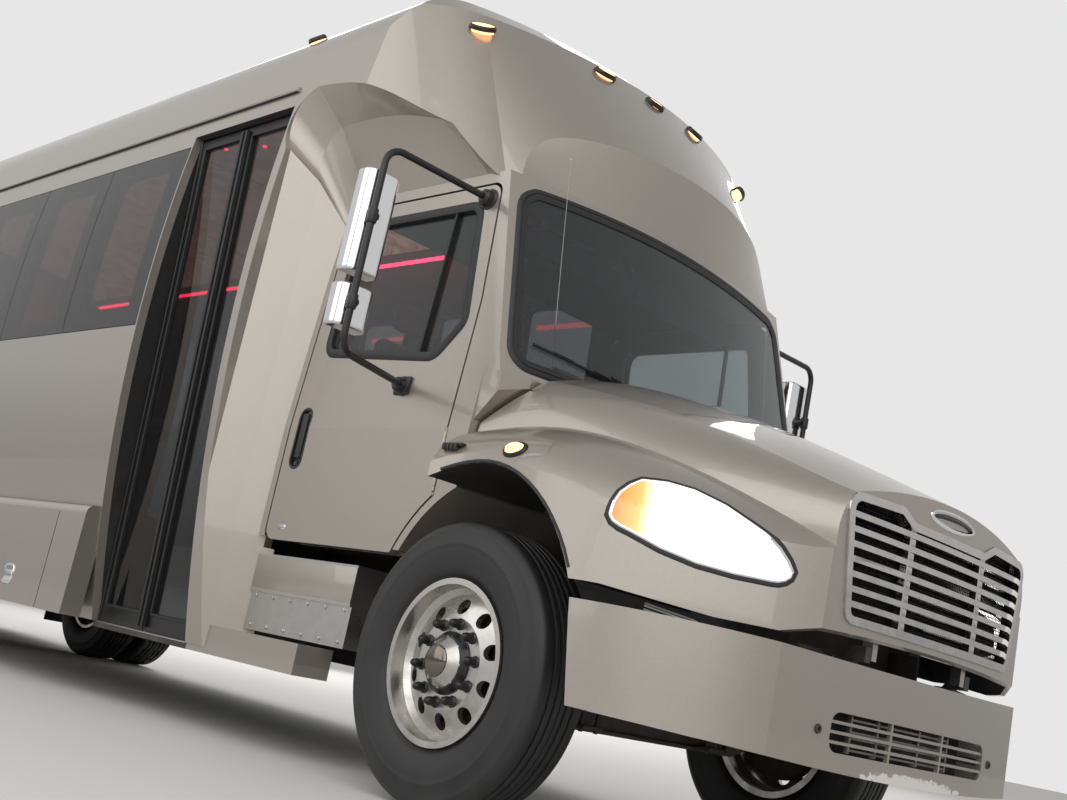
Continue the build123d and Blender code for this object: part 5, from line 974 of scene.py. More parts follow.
def cab_y(z, inset=0.0):
    """Half width of the cab at height z."""
    return CAB_HALF - inset - (0.065 * (z - 1.4) / 1.14 if z > 1.4 else 0)


for tag, s in (("right", -1), ("left", 1)):
    body = "cab_door_" + tag
    frame_line = [(-0.545, 2.392, 0.07), (-0.452, 1.86, 0.06), (-0.59, 1.712, 0.09), (-1.385, 1.762, 0.06),
                  (-1.395, 2.392, 0.08)]
    line = loop_on(denser(rounded([(FRONT_AXLE + a, b, r) for a, b, r in frame_line]), 0.2),
                   lambda p: Vector((p.x, s * cab_y(p.y), p.y)), lambda p: Vector((0, s, 0.057)).normalized())
    bm = bmesh.new()
    sweep(bm, line, [(-0.018, -0.016), (-0.017, 0.003), (-0.004, 0.007), (0.016, 0.006), (0.024, 0.0),
                     (0.0, -0.001)])
    solid("door_rubber_" + tag, bm, seal_rubber, body)
    bm = bmesh.new()
    low, high = ((FRONT_AXLE - 0.70, s * cab_y(1.73, 0.012), 1.73),
                 (FRONT_AXLE - 0.70, s * cab_y(2.385, 0.012), 2.385))
    slab(bm, (-0.013, -0.006, 0), (0.013, 0.006, (Vector(high) - Vector(low)).length), 0.003,
         aim(low, high) @ Matrix.Rotation(math.pi / 2, 4, "Z"))
    solid("quarter_light_bar_" + tag, bm, seal_rubber, body)
    dish = rounded([(FRONT_AXLE - 1.445, 1.215, 0.04), (FRONT_AXLE - 1.355, 1.215, 0.04),
                    (FRONT_AXLE - 1.355, 1.49, 0.04), (FRONT_AXLE - 1.445, 1.49, 0.04)])
    line = loop_on(dish, lambda p: Vector((p.x, s * cab_y(p.y), p.y)), lambda p: Vector((0, s, 0)))
    bm = bmesh.new()
    sweep(bm, line, [(-0.0005, -0.0205), (-0.006, -0.0205), (-0.006, 0.0015), (0.002, 0.003), (0.006, 0.0005),
                     (-0.0005, 0.0)])
    outer = [bm.verts.new((p.x, s * (cab_y(p.y) - 0.019), p.y)) for p in dish]
    inner = [bm.verts.new((p.x, s * (cab_y(p.y) - 0.0212), p.y)) for p in dish]
    bm.faces.new(outer)
    bm.faces.new(inner)
    for k in range(len(dish)):
        n = (k + 1) % len(dish)
        bm.faces.new((outer[k], outer[n], inner[n], inner[k]))
    slab(bm, (FRONT_AXLE - 1.42, min(s * 1.003, s * 1.0225), 1.262),
         (FRONT_AXLE - 1.375, max(s * 1.003, s * 1.0225), 1.468), 0.008)
    lathe(bm, [(0, 0), (0.013, 0), (0.013, 0.017), (0.011, 0.019), (0, 0.019)],
          side_turn(FRONT_AXLE - 1.4, s * 1.0, 1.236, s), 20)
    solid("door_pull_" + tag, bm, plastic_black, body)
    bm = bmesh.new()
    slab(bm, (FRONT_AXLE - 1.40, min(s * 1.0195, s * 1.0225), 0.936),
         (FRONT_AXLE - 1.35, max(s * 1.0195, s * 1.0225), 0.955), 0.001)
    solid("door_plate_" + tag, bm, chrome, body)

# Mirrors: chromed shells clamped to a bent black tube on two mounts, a tall flat glass
# over a small round-bulged one, with black clamp blocks and pivot knobs.
dress(chrome, "mirror_right", "mirror_left")
mirror_glass = finish("mirror_glass", (0.85, 0.87, 0.88), metal=1.0, rough=0.02)
lay(mirror_glass, pebble, {"Scale": 3.0}, bump=0.01)
MIRROR_Y = 1.492
ARM_X = FRONT_AXLE - 0.53
MIRROR_BACK = FRONT_AXLE - 0.65
for tag, s in (("right", -1), ("left", 1)):
    body = "cab_door_" + tag
    route = [(FRONT_AXLE - 0.5, s * 0.985, 2.4126), (ARM_X, s * MIRROR_Y, 2.428), (ARM_X, s * MIRROR_Y, 1.58),
             (FRONT_AXLE - 0.725, s * 1.0316, 1.583)]
    pipe("mirror_arm_" + tag, route, 0.0145, hub_black, body, bend=0.07)
    bm = bmesh.new()
    for z in (2.13, 1.775):
        lathe(bm, [(0, -0.03), (0.019, -0.03), (0.021, -0.024), (0.021, 0.024), (0.019, 0.03), (0, 0.03)],
              Matrix.Translation((ARM_X, s * MIRROR_Y, z)), 20)
        lathe(bm, [(0, -0.034), (0.017, -0.034), (0.02, -0.028), (0.02, 0.004), (0, 0.004)],
              Matrix.Translation((FRONT_AXLE - 0.552, s * (MIRROR_Y - 0.009), z))
              @ Matrix.Rotation(-math.pi / 2, 4, "Y"), 16)
    for x, y, z, r in ((-0.5, 0.958, 2.4118, 0.038), (-0.735, 1.012, 1.583, 0.034)):
        lathe(bm, [(0, 0), (r * 1.25, 0), (r * 1.25, 0.008), (r, 0.014), (r * 0.9, 0.04), (r * 0.6, 0.05),
                   (0, 0.052)], side_turn(FRONT_AXLE + x, s * y, z, s), 24)
    slab(bm, (FRONT_AXLE - 0.79, min(s * 1.008, s * 1.022), 1.545),
         (FRONT_AXLE - 0.69, max(s * 1.008, s * 1.022), 1.625), 0.008)
    slab(bm, (FRONT_AXLE - 0.545, min(s * 0.955, s * 0.972), 2.375),
         (FRONT_AXLE - 0.47, max(s * 0.955, s * 0.972), 2.452), 0.008)
    solid("mirror_mounts_" + tag, bm, hub_black, body)
    bm = bmesh.new()
    for low, high in ((1.918, 2.322), (1.692, 1.843)):
        outline = rounded([(-1.518, low, 0.02), (-1.377, low, 0.02), (-1.377, high, 0.02),
                           (-1.518, high, 0.02)])
        front = [bm.verts.new((MIRROR_BACK + 0.002, -s * p.x, p.y)) for p in outline]
        back = [bm.verts.new((MIRROR_BACK - 0.003, -s * p.x, p.y)) for p in outline]
        bm.faces.new(front)
        bm.faces.new(back)
        for k in range(len(outline)):
            n = (k + 1) % len(outline)
            bm.faces.new((front[k], front[n], back[n], back[k]))
    solid("mirror_faces_" + tag, bm, mirror_glass, body, 20)

# Cab steps: a box of bright sheet under each door with a raised-dot tread on its top ledge,
# its upper face painted with the body; fixed to the frame by brackets behind.
dress(step_alloy, "cab_steps")
STEP_BACK, STEP_FRONT = FRONT_AXLE - 1.545, FRONT_AXLE - 0.78
dot = bmesh.new()
lathe(dot, [(0, 0), (0.007, 0), (0.006, 0.0025), (0.003, 0.003), (0, 0.003)], sides=8)
rows = repeat(in_row, dot, step_alloy, [Matrix.Translation((STEP_BACK + 0.04, s * (0.965 - 0.03 * k), 0.8215))
                                        for s in (-1, 1) for k in range(8)],
              Count=24, Start=(0, 0, 0), Step=(0.0295, 0, 0))
solid("step_dots", rows, step_alloy, "root")
faces = bmesh.new()
for s in (-1, 1):
    slab(faces, (STEP_BACK + 0.01, min(s * 0.999, s * 1.003), 0.668),
         (STEP_FRONT + 0.001, max(s * 0.999, s * 1.003), 0.812), 0.0015)
solid("step_faces", faces, coach_paint, "root")
bolts = repeat(in_row, bolt(0.008, 0.006), step_alloy,
               [side_turn(STEP_BACK + 0.05, s * 0.988, z, s) for s in (-1, 1) for z in (0.505, 0.635)],
               Count=6, Start=(0, 0, 0), Step=(0.134, 0, 0))
solid("step_bolts", bolts, step_alloy, "root")

# Dashboard and steering wheel: grained black moulding with round gauges under a hood, air
# vents and knobs; the wheel is finished in the same grained black.
dash_grain = finish("dash_grain", (0.03, 0.031, 0.033), rough=0.6)
dusty(dash_grain, (0.03, 0.031, 0.033), 1.0, 2.0, 0.3, 0.55, 0.8, scale=18.0)
lay(dash_grain, pebble, {"Scale": 320.0}, bump=0.35)
dress(dash_grain, "dashboard", "steering_wheel")
bm = bmesh.new()
face_x = FRONT_AXLE - 0.56
for y in (-0.75, -0.45, 0.0, 0.83):
    slab(bm, (face_x - 0.012, y - 0.07, 1.515), (face_x + 0.03, y + 0.07, 1.585), 0.006)
    for k in range(4):
        slab(bm, (face_x - 0.02, y - 0.06, 1.524 + 0.016 * k), (face_x - 0.008, y + 0.06, 1.528 + 0.016 * k))
slab(bm, (face_x - 0.06, 0.27, 1.585), (face_x + 0.12, 0.77, 1.66), 0.02)
slab(bm, (face_x - 0.035, -0.25, 1.33), (face_x + 0.05, 0.25, 1.50), 0.012)
solid("dash_fittings", bm, plastic_black, "root")
knob = bmesh.new()
lathe(knob, [(0, 0), (0.014, 0), (0.0145, 0.008), (0.011, 0.02), (0, 0.021)], sides=14)
facing_back = Matrix.Rotation(-math.pi / 2, 4, "Y")
knobs = repeat(in_row, knob, chrome, [Matrix.Translation((face_x - 0.034, -0.19, z)) @ facing_back
                                      for z in (1.37, 1.42, 1.46)],
               Count=7, Start=(0, 0, 0), Step=(0, 0.062, 0))
solid("dash_knobs", knobs, chrome, "root")
gauge = bmesh.new()
lathe(gauge, [(0.030, 0), (0.040, 0), (0.040, 0.006), (0.037, 0.009), (0.032, 0.006)], sides=28)
gauges = repeat(in_row, gauge, chrome, [Matrix.Translation((face_x - 0.005, 0.33, 1.55)) @ facing_back],
                Count=5, Start=(0, 0, 0), Step=(0, 0.092, 0))
solid("dash_gauges", gauges, chrome, "root")

# Wipers and whip aerial: black arms on cowl pivots press rubber blades on the glass; the
# aerial is a thin steel whip in a foot of the same steel.
steel_bright = finish("steel_bright", (0.35, 0.34, 0.33), metal=1.0, rough=0.3)
lay(steel_bright, pebble, {"Scale": 200.0}, bump=0.05)
wipers = bmesh.new()
for pivot, reach, foot, tip in ((-0.06, -0.50, (-0.12, 1.715), (-0.86, 1.79)),
                                (0.62, 0.16, (0.56, 1.735), (-0.18, 1.78))):
    def ahead(y, z, off):
        return Vector((screen_x(y, z) + off, y, z))
    def arm(start, end, r0, r1):
        lathe(wipers, [(0, 0), (r0, 0), (r1, (end - start).length), (0, (end - start).length)],
              aim(start, end), 8)
    knee = ahead(pivot, 1.685, 0.05)
    hold = ahead(reach, foot[1] + (tip[1] - foot[1]) * 0.5 + 0.012, 0.035)
    lathe(wipers, [(0, 0), (0.020, 0), (0.020, 0.02), (0.014, 0.03), (0, 0.03)],
          Matrix.Translation(knee - Vector((0, 0, 0.03))), 16)
    arm(knee, knee.lerp(hold, 0.45), 0.009, 0.008)
    arm(knee.lerp(hold, 0.42), hold, 0.005, 0.0045)
    steps = 8
    for k in range(steps):
        y0, y1 = (foot[0] + (tip[0] - foot[0]) * t for t in (k / steps, (k + 1) / steps))
        z0, z1 = (foot[1] + (tip[1] - foot[1]) * t for t in (k / steps, (k + 1) / steps))
        arm(ahead(y0, z0, 0.010), ahead(y1, z1, 0.010), 0.007, 0.007)
        if k in (1, 3, 4, 6):
            arm(ahead(y0, z0 + 0.004, 0.016), ahead(y1, z1 + 0.004, 0.026 if k in (3, 4) else 0.018), 0.004,
                0.004)
piece = solid("wiper_arms", wipers, hub_black, "root")
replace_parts(piece, "cowl_fittings")
aerial = bmesh.new()
foot, top = Vector((FRONT_AXLE - 0.175, -0.712, 1.64)), Vector((FRONT_AXLE - 0.20, -0.829, 2.60))
lathe(aerial, [(0, -0.02), (0.012, -0.02), (0.012, 0.012), (0.008, 0.02), (0.004, 0.05), (0.0017, 0.06),
               (0.0012, (top - foot).length), (0, (top - foot).length)], aim(foot, top), 10)
lathe(aerial, [(0, (top - foot).length), (0.003, (top - foot).length), (0.003, (top - foot).length + 0.008),
               (0, (top - foot).length + 0.008)], aim(foot, top), 8)
solid("whip_aerial", aerial, steel_bright, "root")

# Hood: one plastic moulding with both fenders, painted with the body; a bare chromed oval
# sits over the grille, rubber latches hold it to the cowl, and black housings line the arches.
hood_paint = skin("hood_paint", lining=-0.25, middle=0.8)
dress(hood_paint, "hood")


def surface(*names):
    """Function that finds the place and facing where a line meets CAD nodes."""
    bm = bmesh.new()
    for name in names:
        bm.from_mesh(nodes[name].data)
    tree = BVHTree.FromBMesh(bm)
    bm.free()

    def hit(start, way):
        for nudge in (0, 0.0015, -0.0015, 0.003):       # a line can slip through a seam
            place, facing, _, _ = tree.ray_cast(Vector(start) + Vector((nudge, nudge, nudge)), Vector(way))
            if place:
                return place, (-facing if facing.dot(Vector(way)) > 0 else facing)
        return None, None
    return hit


hood_at = surface("hood", "headlamps", "grille")
nose = [hood_at((FRONT_AXLE + 3, 0.148 * math.cos(t), 1.337 + 0.027 * math.sin(t)), (-1, 0, 0))
        for t in (2 * math.pi * k / 48 for k in range(48))]
forward_line = []
for k, (place, facing) in enumerate(nose):
    tangent = (nose[(k + 1) % 48][0] - nose[k - 1][0]).normalized()
    outward = tangent.cross(Vector((1, 0, 0.3)).normalized()).normalized()
    if outward.dot(place - Vector((FRONT_AXLE + 1.24, 0, 1.337))) < 0:
        outward = -outward
    forward_line.append((place, outward, Vector((1, 0, 0.3)).normalized()))
bm = bmesh.new()
sweep(bm, forward_line, [(-0.010, -0.004), (-0.009, 0.004), (-0.002, 0.008), (0.004, 0.006), (0.007, 0.0),
                         (0.005, -0.004)])
solid("badge_ring", bm, chrome, "hood")
bm = bmesh.new()
layers = [[bm.verts.new(p - o * 0.009 + u * h) for p, o, u in forward_line] for h in (-0.004, 0.0015)]
layers.append([bm.verts.new(p - o * 0.018 + u * 0.0035) for p, o, u in forward_line])
for here, there in zip(layers, layers[1:]):
    for k in range(48):
        bm.faces.new((here[k], here[(k + 1) % 48], there[(k + 1) % 48], there[k]))
bm.faces.new(layers[0])
bm.faces.new(layers[-1])
solid("badge_face", bm, bezel_black, "hood")
LATCH_Y = 1.14
lenses = bmesh.new()
bm = bmesh.new()
for s in (-1, 1):
    spot, facing = hood_at((FRONT_AXLE + 0.19, s * 3, 1.284), (0, -s, 0))
    oval(bm, spot, facing, (1, 0, 0), [(0.0, -0.012), (0.0, 0.009), (0.003, 0.012), (0.009, 0.008),
                                       (0.014, -0.002),
                                       (0.014, -0.012)], 0.045, 0.026)
    upright = Matrix((Vector((1, 0, 0)), facing.cross(Vector((1, 0, 0))), facing)).transposed().to_4x4()
    lathe(lenses, [(0, -0.012), (0.0448, -0.012), (0.0448, 0.008), (0.037, 0.017), (0.022, 0.023),
                   (0, 0.025)],
          Matrix.Translation(spot) @ upright @ Matrix.Diagonal((1, 0.578, 1, 1)), 32)
    y = s * LATCH_Y
    for k in range(4):
        x = FRONT_AXLE - 0.205 + 0.022 * k
        spot, _ = hood_at((x, y, 2.0), (0, 0, -1))
        slab(bm, (x - 0.009, y - 0.022, spot.z - 0.01), (x + 0.009, y + 0.022, spot.z + 0.014), 0.004)
    spot, _ = hood_at((FRONT_AXLE - 0.17, y, 2.0), (0, 0, -1))
    slab(bm, (FRONT_AXLE - 0.225, y - 0.013, spot.z + 0.006), (FRONT_AXLE - 0.11, y + 0.013, spot.z + 0.02),
         0.005)
solid("hood_latches", bm, bezel_black, "hood")
solid("fender_lamps", lenses, amber, "hood")
ARCH_R, ARCH_Z = 0.6205, 0.612
for s, tag in ((-1, "right"), (1, "left")):
    bm = bmesh.new()
    rim = []
    for step in range(26):
        a = math.radians(26 + 6 * step)
        x = FRONT_AXLE + 0.03 + ARCH_R * math.cos(a)
        z = ARCH_Z + ARCH_R * math.sin(a)
        spot, _ = hood_at((x + 0.012 * math.cos(a), s * 3, z + 0.012 * math.sin(a)), (0, -s, 0))
        if spot is not None and abs(spot.y) > 0.9:
            rim.append((Vector((x, spot.y, z)), Vector((math.cos(a), 0, math.sin(a))), Vector((0, s, 0))))
    sweep(bm, rim, [(0.0, -0.02), (0.0, 0.001), (0.004, 0.004), (0.012, 0.003), (0.014, -0.006)],
          closed=False)
    solid("fender_lip_" + tag, bm, seal_rubber, "hood")

# Grille: a chromed surround and slats, with two uprights clipped behind them and a fine
# black insect screen; the screen is wire, stretched over the opening.
bright_slats = finish("bright_slats", (0.62, 0.61, 0.59), metal=1.0, rough=0.12)
dusty(bright_slats, (0.62, 0.61, 0.59), 0.7, 1.5, 0.5, 0.1, 0.5, scale=16.0, dust=(0.16, 0.14, 0.12, 1))
dress(bright_slats, "grille")
screen_black = finish("screen_black", (0.016, 0.016, 0.017), metal=0.6, rough=0.5)
lay(screen_black, pebble, {"Scale": 300.0}, bump=0.1)


def bow_x(y, front, corner, half):
    """Place along X of a bowed front at a place across."""
    r = (half ** 2 + (front - corner) ** 2) / (2 * (front - corner))
    return FRONT_AXLE + front - r + math.sqrt(r * r - y * y)


def grille_x(y):
    """Face of the grille at a place across."""
    return bow_x(y, 1.265, 1.23, 0.65)


WIRE = 0.0012
SCREEN_PITCH = 0.0133
SCREEN_DEPTH = 0.052
bm = bmesh.new()
for k in range(89):
    y = -0.585 + SCREEN_PITCH * k
    x = grille_x(y) - SCREEN_DEPTH
    slab(bm, (x - WIRE, y - WIRE, 0.90), (x + WIRE, y + WIRE, 1.275 if abs(y) < 0.27 else 1.305))
for k in range(30):
    z = 0.905 + SCREEN_PITCH * k
    reach = 0.25 if z > 1.285 else 0.585
    ys = [-reach + 2 * reach * i / 12 for i in range(13)] if z <= 1.275 else None
    spans = [ys] if ys else [[-0.585 + 0.025 * i for i in range(12)], [0.31 + 0.025 * i for i in range(12)]]
    for span in spans:
        line = [(Vector((grille_x(y) - SCREEN_DEPTH, y, z)), Vector((1, 0, 0)),
                 Vector((0, 0, 1))) for y in span]
        sweep(bm, line, [(-WIRE, -WIRE), (WIRE, -WIRE), (WIRE, WIRE), (-WIRE, WIRE)], closed=False)
solid("insect_screen", bm, screen_black, "hood", 0)
bm = bmesh.new()
for y in (-0.245, 0.245):
    x = grille_x(y)
    for k in range(8):
        z = 0.928 + 0.048 * k
        slab(bm, (x - 0.042, y + 0.014, z - 0.016), (x - 0.016, y + 0.040, z + 0.016), 0.003)
solid("slat_clips", bm, bright_slats, "hood")

# Headlamps: lit clear lenses with an amber end, each in a bright rim and a dark gasket that
# follow the hood's corner; a small amber lamp stands on each fender.
lamp_lens = finish("lamp_lens", (0.9, 0.9, 0.88), rough=0.08, coat=1.0, glow=(1, 0.96, 0.88), strength=3.0)
tree = lamp_lens.node_tree
axes = node(tree, "SeparateXYZ", links={0: node(tree, "TexCoord").outputs["Object"]})
side = node(tree, "Math", links={0: axes.outputs["Y"]}, operation="ABSOLUTE")
along = node(tree, "Math", links={0: axes.outputs["X"], 1: side.outputs[0]}, operation="SUBTRACT")
share = node(tree, "MapRange", {"From Min": FRONT_AXLE - 0.46, "From Max": FRONT_AXLE + 0.42},
             {"Value": along.outputs[0]})
heat = node(tree, "ValToRGB", links={"Fac": share.outputs[0]})
heat.color_ramp.elements[0].color = (0.20, 0.07, 0.02, 1)
heat.color_ramp.elements[1].color = (0.80, 0.80, 0.80, 1)
for position, shade in ((0.07, (0.40, 0.13, 0.03)), (0.16, (0.50, 0.20, 0.06)), (0.26, (0.8, 0.62, 0.42)),
                        (0.36, (1.0, 0.95, 0.86)), (0.85, (1.0, 0.97, 0.92))):
    heat.color_ramp.elements.new(position).color = (*shade, 1)
# only the outer face is lit; the back of the lens is dark
turned = node(tree, "SeparateXYZ", links={0: node(tree, "TexCoord").outputs["Normal"]})
front = node(tree, "MapRange", {"From Min": -0.1, "From Max": 0.1}, {"Value": turned.outputs["X"]})
lit_face = node(tree, "Mix", {6: (0, 0, 0, 1)}, {0: front.outputs[0], 7: heat.outputs["Color"]},
                data_type="RGBA")
tree.links.new(lit_face.outputs[2], tree.nodes["Principled BSDF"].inputs["Emission Color"])
tint = node(tree, "Mix", {0: 0.7, 6: (0, 0, 0, 1)}, {7: heat.outputs["Color"]}, data_type="RGBA")
tree.links.new(tint.outputs[2], tree.nodes["Principled BSDF"].inputs["Base Color"])
flutes = node(tree, "TexWave", {"Scale": 14.0, "Distortion": 0.5},
              {"Vector": node(tree, "TexCoord").outputs["Object"]}, bands_direction="DIAGONAL")
relief = node(tree, "Bump", {"Strength": 0.25, "Distance": 0.002}, {"Height": flutes.outputs["Fac"]})
tree.links.new(relief.outputs["Normal"], tree.nodes["Principled BSDF"].inputs["Normal"])
dress(lamp_lens, "headlamps")
LAMP = [(-0.318, 1.075), (-0.312, 1.118), (-0.297, 1.155), (-0.270, 1.186), (-0.233, 1.212), (-0.15, 1.218),
        (-0.06, 1.208), (0.045, 1.174), (0.141, 1.125), (0.192, 1.098), (0.232, 1.068), (0.264, 1.033),
        (0.283, 1.003), (0.277, 0.985), (0.262, 0.972), (0.242, 0.964), (0.219, 0.962), (0.10, 0.962),
        (-0.02, 0.972), (-0.14, 0.998), (-0.247, 1.035), (-0.280, 1.045), (-0.305, 1.058)]
DIAGONAL = math.sqrt(0.5)
for s, tag in ((-1, "right"), (1, "left")):
    way = Vector((-DIAGONAL, -s * DIAGONAL, 0))
    base = Vector((FRONT_AXLE + 0.4, s * 0.4, 0))
    across = Vector((DIAGONAL, -s * DIAGONAL, 0))
    outline = denser([Vector(p) for p in LAMP], 0.03)
    middle = sum(outline, Vector((0, 0))) / len(outline)
    line = []
    for k, p in enumerate(outline):
        flat = (outline[(k + 1) % len(outline)] - outline[k - 1]).normalized()
        out2 = Vector((flat.y, -flat.x))
        if out2.dot(p - middle) < 0:
            out2 = -out2
        spots = [hood_at(base + across * q.x + Vector((0, 0, q.y)) - way * 2, way) for q in (p - out2 * 0.005,
                                                                                        p + out2 * 0.012)]
        facing = (spots[0][1] + spots[1][1]).normalized()
        outward = (spots[1][0] - spots[0][0]).normalized()
        line.append((spots[0][0].lerp(spots[1][0], 0.3), outward, facing))
    for name, profile, coat_of, slot_of in (
            ("lamp_rim_", [(-0.007, -0.002), (-0.006, 0.005), (-0.001, 0.0075), (0.004, 0.0055),
                           (0.006, -0.001)],
             chrome, "chrome_trim"),
            ("lamp_gasket_", [(0.005, -0.002), (0.005, 0.004), (0.010, 0.005), (0.017, 0.0035),
                              (0.020, -0.001)],
             seal_rubber, "dark_plastic")):
        bm = bmesh.new()
        sweep(bm, line, profile)
        solid(name + tag, bm, coat_of, "hood")
    bm = bmesh.new()
    heart = sum((p for p, _, _ in line), Vector()) / len(line)
    layers = [[bm.verts.new(heart + (p - heart) * shrink + way * deep) for p, _, _ in line]
              for shrink, deep in ((1.0, 0.022), (0.8, 0.06), (0.5, 0.115))]
    for here, there in zip(layers, layers[1:]):
        for k in range(len(line)):
            bm.faces.new((here[k - 1], here[k], there[k], there[k - 1]))
    bm.faces.new(layers[0])
    bm.faces.new(layers[-1])
    solid("lamp_bucket_" + tag, bm, plastic_black, "hood")

# Front bumper: pressed steel painted with the body, scuffed at its middle, with a slatted
# air slot backed by mesh; behind its top run the cooler's fins, a bracket and lamp wires.
bumper_paint = skin("bumper_paint", lining=-50.0)
tree = bumper_paint.node_tree
shader = tree.nodes["Principled BSDF"]
coords = node(tree, "TexCoord").outputs["Object"]
axes = node(tree, "SeparateXYZ", links={0: coords})
low = node(tree, "MapRange", {"From Min": 0.475, "From Max": 0.425}, {"Value": axes.outputs["Z"]})
side = node(tree, "Math", links={0: axes.outputs["Y"]}, operation="ABSOLUTE")
near = node(tree, "MapRange", {"From Min": 0.55, "From Max": 0.1}, {"Value": side.outputs[0]})
chips = node(tree, "TexNoise", {"Scale": 38.0, "Detail": 5.0, "Roughness": 0.7}, {"Vector": coords})
zone = node(tree, "Math", links={0: low.outputs[0], 1: near.outputs[0]}, operation="MULTIPLY")
chipped = node(tree, "Math", links={0: zone.outputs[0], 1: chips.outputs["Fac"]}, operation="MULTIPLY")
worn = node(tree, "Math", {1: 0.27}, {0: chipped.outputs[0]}, operation="GREATER_THAN").outputs[0]
primer = node(tree, "Mix", {7: (0.70, 0.68, 0.64, 1)},
              {0: worn, 6: shader.inputs["Base Color"].links[0].from_socket},
              data_type="RGBA")
tree.links.new(primer.outputs[2], shader.inputs["Base Color"])
shine = node(tree, "Math", links={0: shader.inputs["Metallic"].links[0].from_socket, 1: worn},
             operation="SUBTRACT",
             use_clamp=True)
tree.links.new(shine.outputs[0], shader.inputs["Metallic"])
dress(bumper_paint, "front_bumper", "rear_bumper")


def slot_x(y):
    """Middle of the air slot's slats at a place across."""
    return bow_x(y, 1.20, 1.135, 0.78)


slot_grey = finish("slot_grey", (0.22, 0.21, 0.20), metal=0.7, rough=0.4)
dusty(slot_grey, (0.22, 0.21, 0.20), 0.3, 0.8, 0.6, 0.35, 0.8, scale=30.0)
bm = bmesh.new()
for k in range(6):
    z = 0.496 + 0.0195 * k
    line = [(Vector((slot_x(y), y, z)), Vector((1, 0, 0)), Vector((0, 0, 1)))
            for y in (-0.36 + 0.062 * i for i in range(11))]
    sweep(bm, line, [(-0.008, -0.0035), (0.008, -0.0035), (0.008, 0.0035), (-0.008, 0.0035)], closed=False)
for y in (-0.36, -0.21, 0.05, 0.26):
    x = slot_x(y)
    slab(bm, (x - 0.012, y - 0.006, 0.484), (x + 0.010, y + 0.006, 0.606), 0.002)
solid("slot_slats", bm, slot_grey, "root")
wire = bmesh.new()
slab(wire, (-0.001, -0.0012, 0.484), (0.001, 0.0012, 0.606))
bars = repeat(in_row, wire, screen_black, [Matrix.Translation((FRONT_AXLE + 1.165, -0.495, 0))], Count=14,
              Start=(0, 0, 0), Step=(0.0012, 0.0095, 0))
wire = bmesh.new()
slab(wire, (-0.001, -0.495, -0.0012), (0.001, -0.37, 0.0012))
more = repeat(in_row, wire, screen_black, [Matrix.Translation((FRONT_AXLE + 1.172, 0, 0.488))], Count=13,
              Start=(0, 0, 0), Step=(0, 0, 0.0095))
mesh = bpy.data.meshes.new("more")
more.to_mesh(mesh)
bars.from_mesh(mesh)
solid("slot_mesh", bars, screen_black, "root", 0)
bm = bmesh.new()
slab(bm, (FRONT_AXLE + 1.10, -0.52, 0.47), (FRONT_AXLE + 1.104, 0.52, 0.62))
for z in (0.47, 0.616):
    slab(bm, (FRONT_AXLE + 1.10, -0.52, z), (FRONT_AXLE + 1.165, 0.52, z + 0.004))
solid("slot_backing", bm, plastic_black, "root")
fin = bmesh.new()
slab(fin, (0, -0.0012, 0), (0.03, 0.0012, 0.04))
fins = repeat(in_row, fin, steel_bright, [Matrix.Translation((FRONT_AXLE + 1.075, -0.38, 0.742))], Count=93,
              Start=(0, 0, 0), Step=(0, 0.008, 0))
for z in (0.745, 0.752, 0.759, 0.766, 0.773):
    slab(fins, (FRONT_AXLE + 1.07, -0.384, z), (FRONT_AXLE + 1.108, 0.366, z + 0.002))
slab(fins, (FRONT_AXLE + 1.06, -0.40, 0.738), (FRONT_AXLE + 1.112, -0.385, 0.79), 0.002)
slab(fins, (FRONT_AXLE + 1.06, 0.366, 0.738), (FRONT_AXLE + 1.112, 0.385, 0.79), 0.002)
solid("cooler_fins", fins, steel_bright, "root", 0)
bm = bmesh.new()
slab(bm, (FRONT_AXLE + 1.03, -0.60, 0.70), (FRONT_AXLE + 1.115, -0.46, 0.80), 0.008)
slab(bm, (FRONT_AXLE + 1.02, -0.50, 0.705), (FRONT_AXLE + 1.06, 0.50, 0.74), 0.004)
slab(bm, (FRONT_AXLE + 0.95, -0.93, 0.66), (FRONT_AXLE + 1.0, -0.40, 0.70), 0.004)
slab(bm, (FRONT_AXLE + 0.95, 0.40, 0.66), (FRONT_AXLE + 1.0, 0.93, 0.70), 0.004)
for s in (-1, 1):
    tray = [Vector((FRONT_AXLE + x, s * y, z)) for x, y, z in (
        (0.78, 1.04, 0.782), (0.93, 0.93, 0.757), (1.03, 0.82, 0.733), (1.08, 0.70, 0.748),
        (1.09, 0.58, 0.748))]
    sweep(bm, [(p, Vector((1, 0, 0)), Vector((0, 0, 1))) for p in denser(tray, 0.1)[:-4]],
          [(-0.022, -0.002), (0.022, -0.002), (0.022, 0.002), (-0.022, 0.002)], closed=False)
solid("bumper_brackets", bm, plastic_black, "root")
wire_grey = finish("wire_grey", (0.32, 0.32, 0.32), rough=0.45)
lay(wire_grey, pebble, {"Scale": 150.0}, bump=0.1)
wire_red = finish("wire_red", (0.5, 0.03, 0.02), rough=0.45)
lay(wire_red, pebble, {"Scale": 150.0}, bump=0.1)
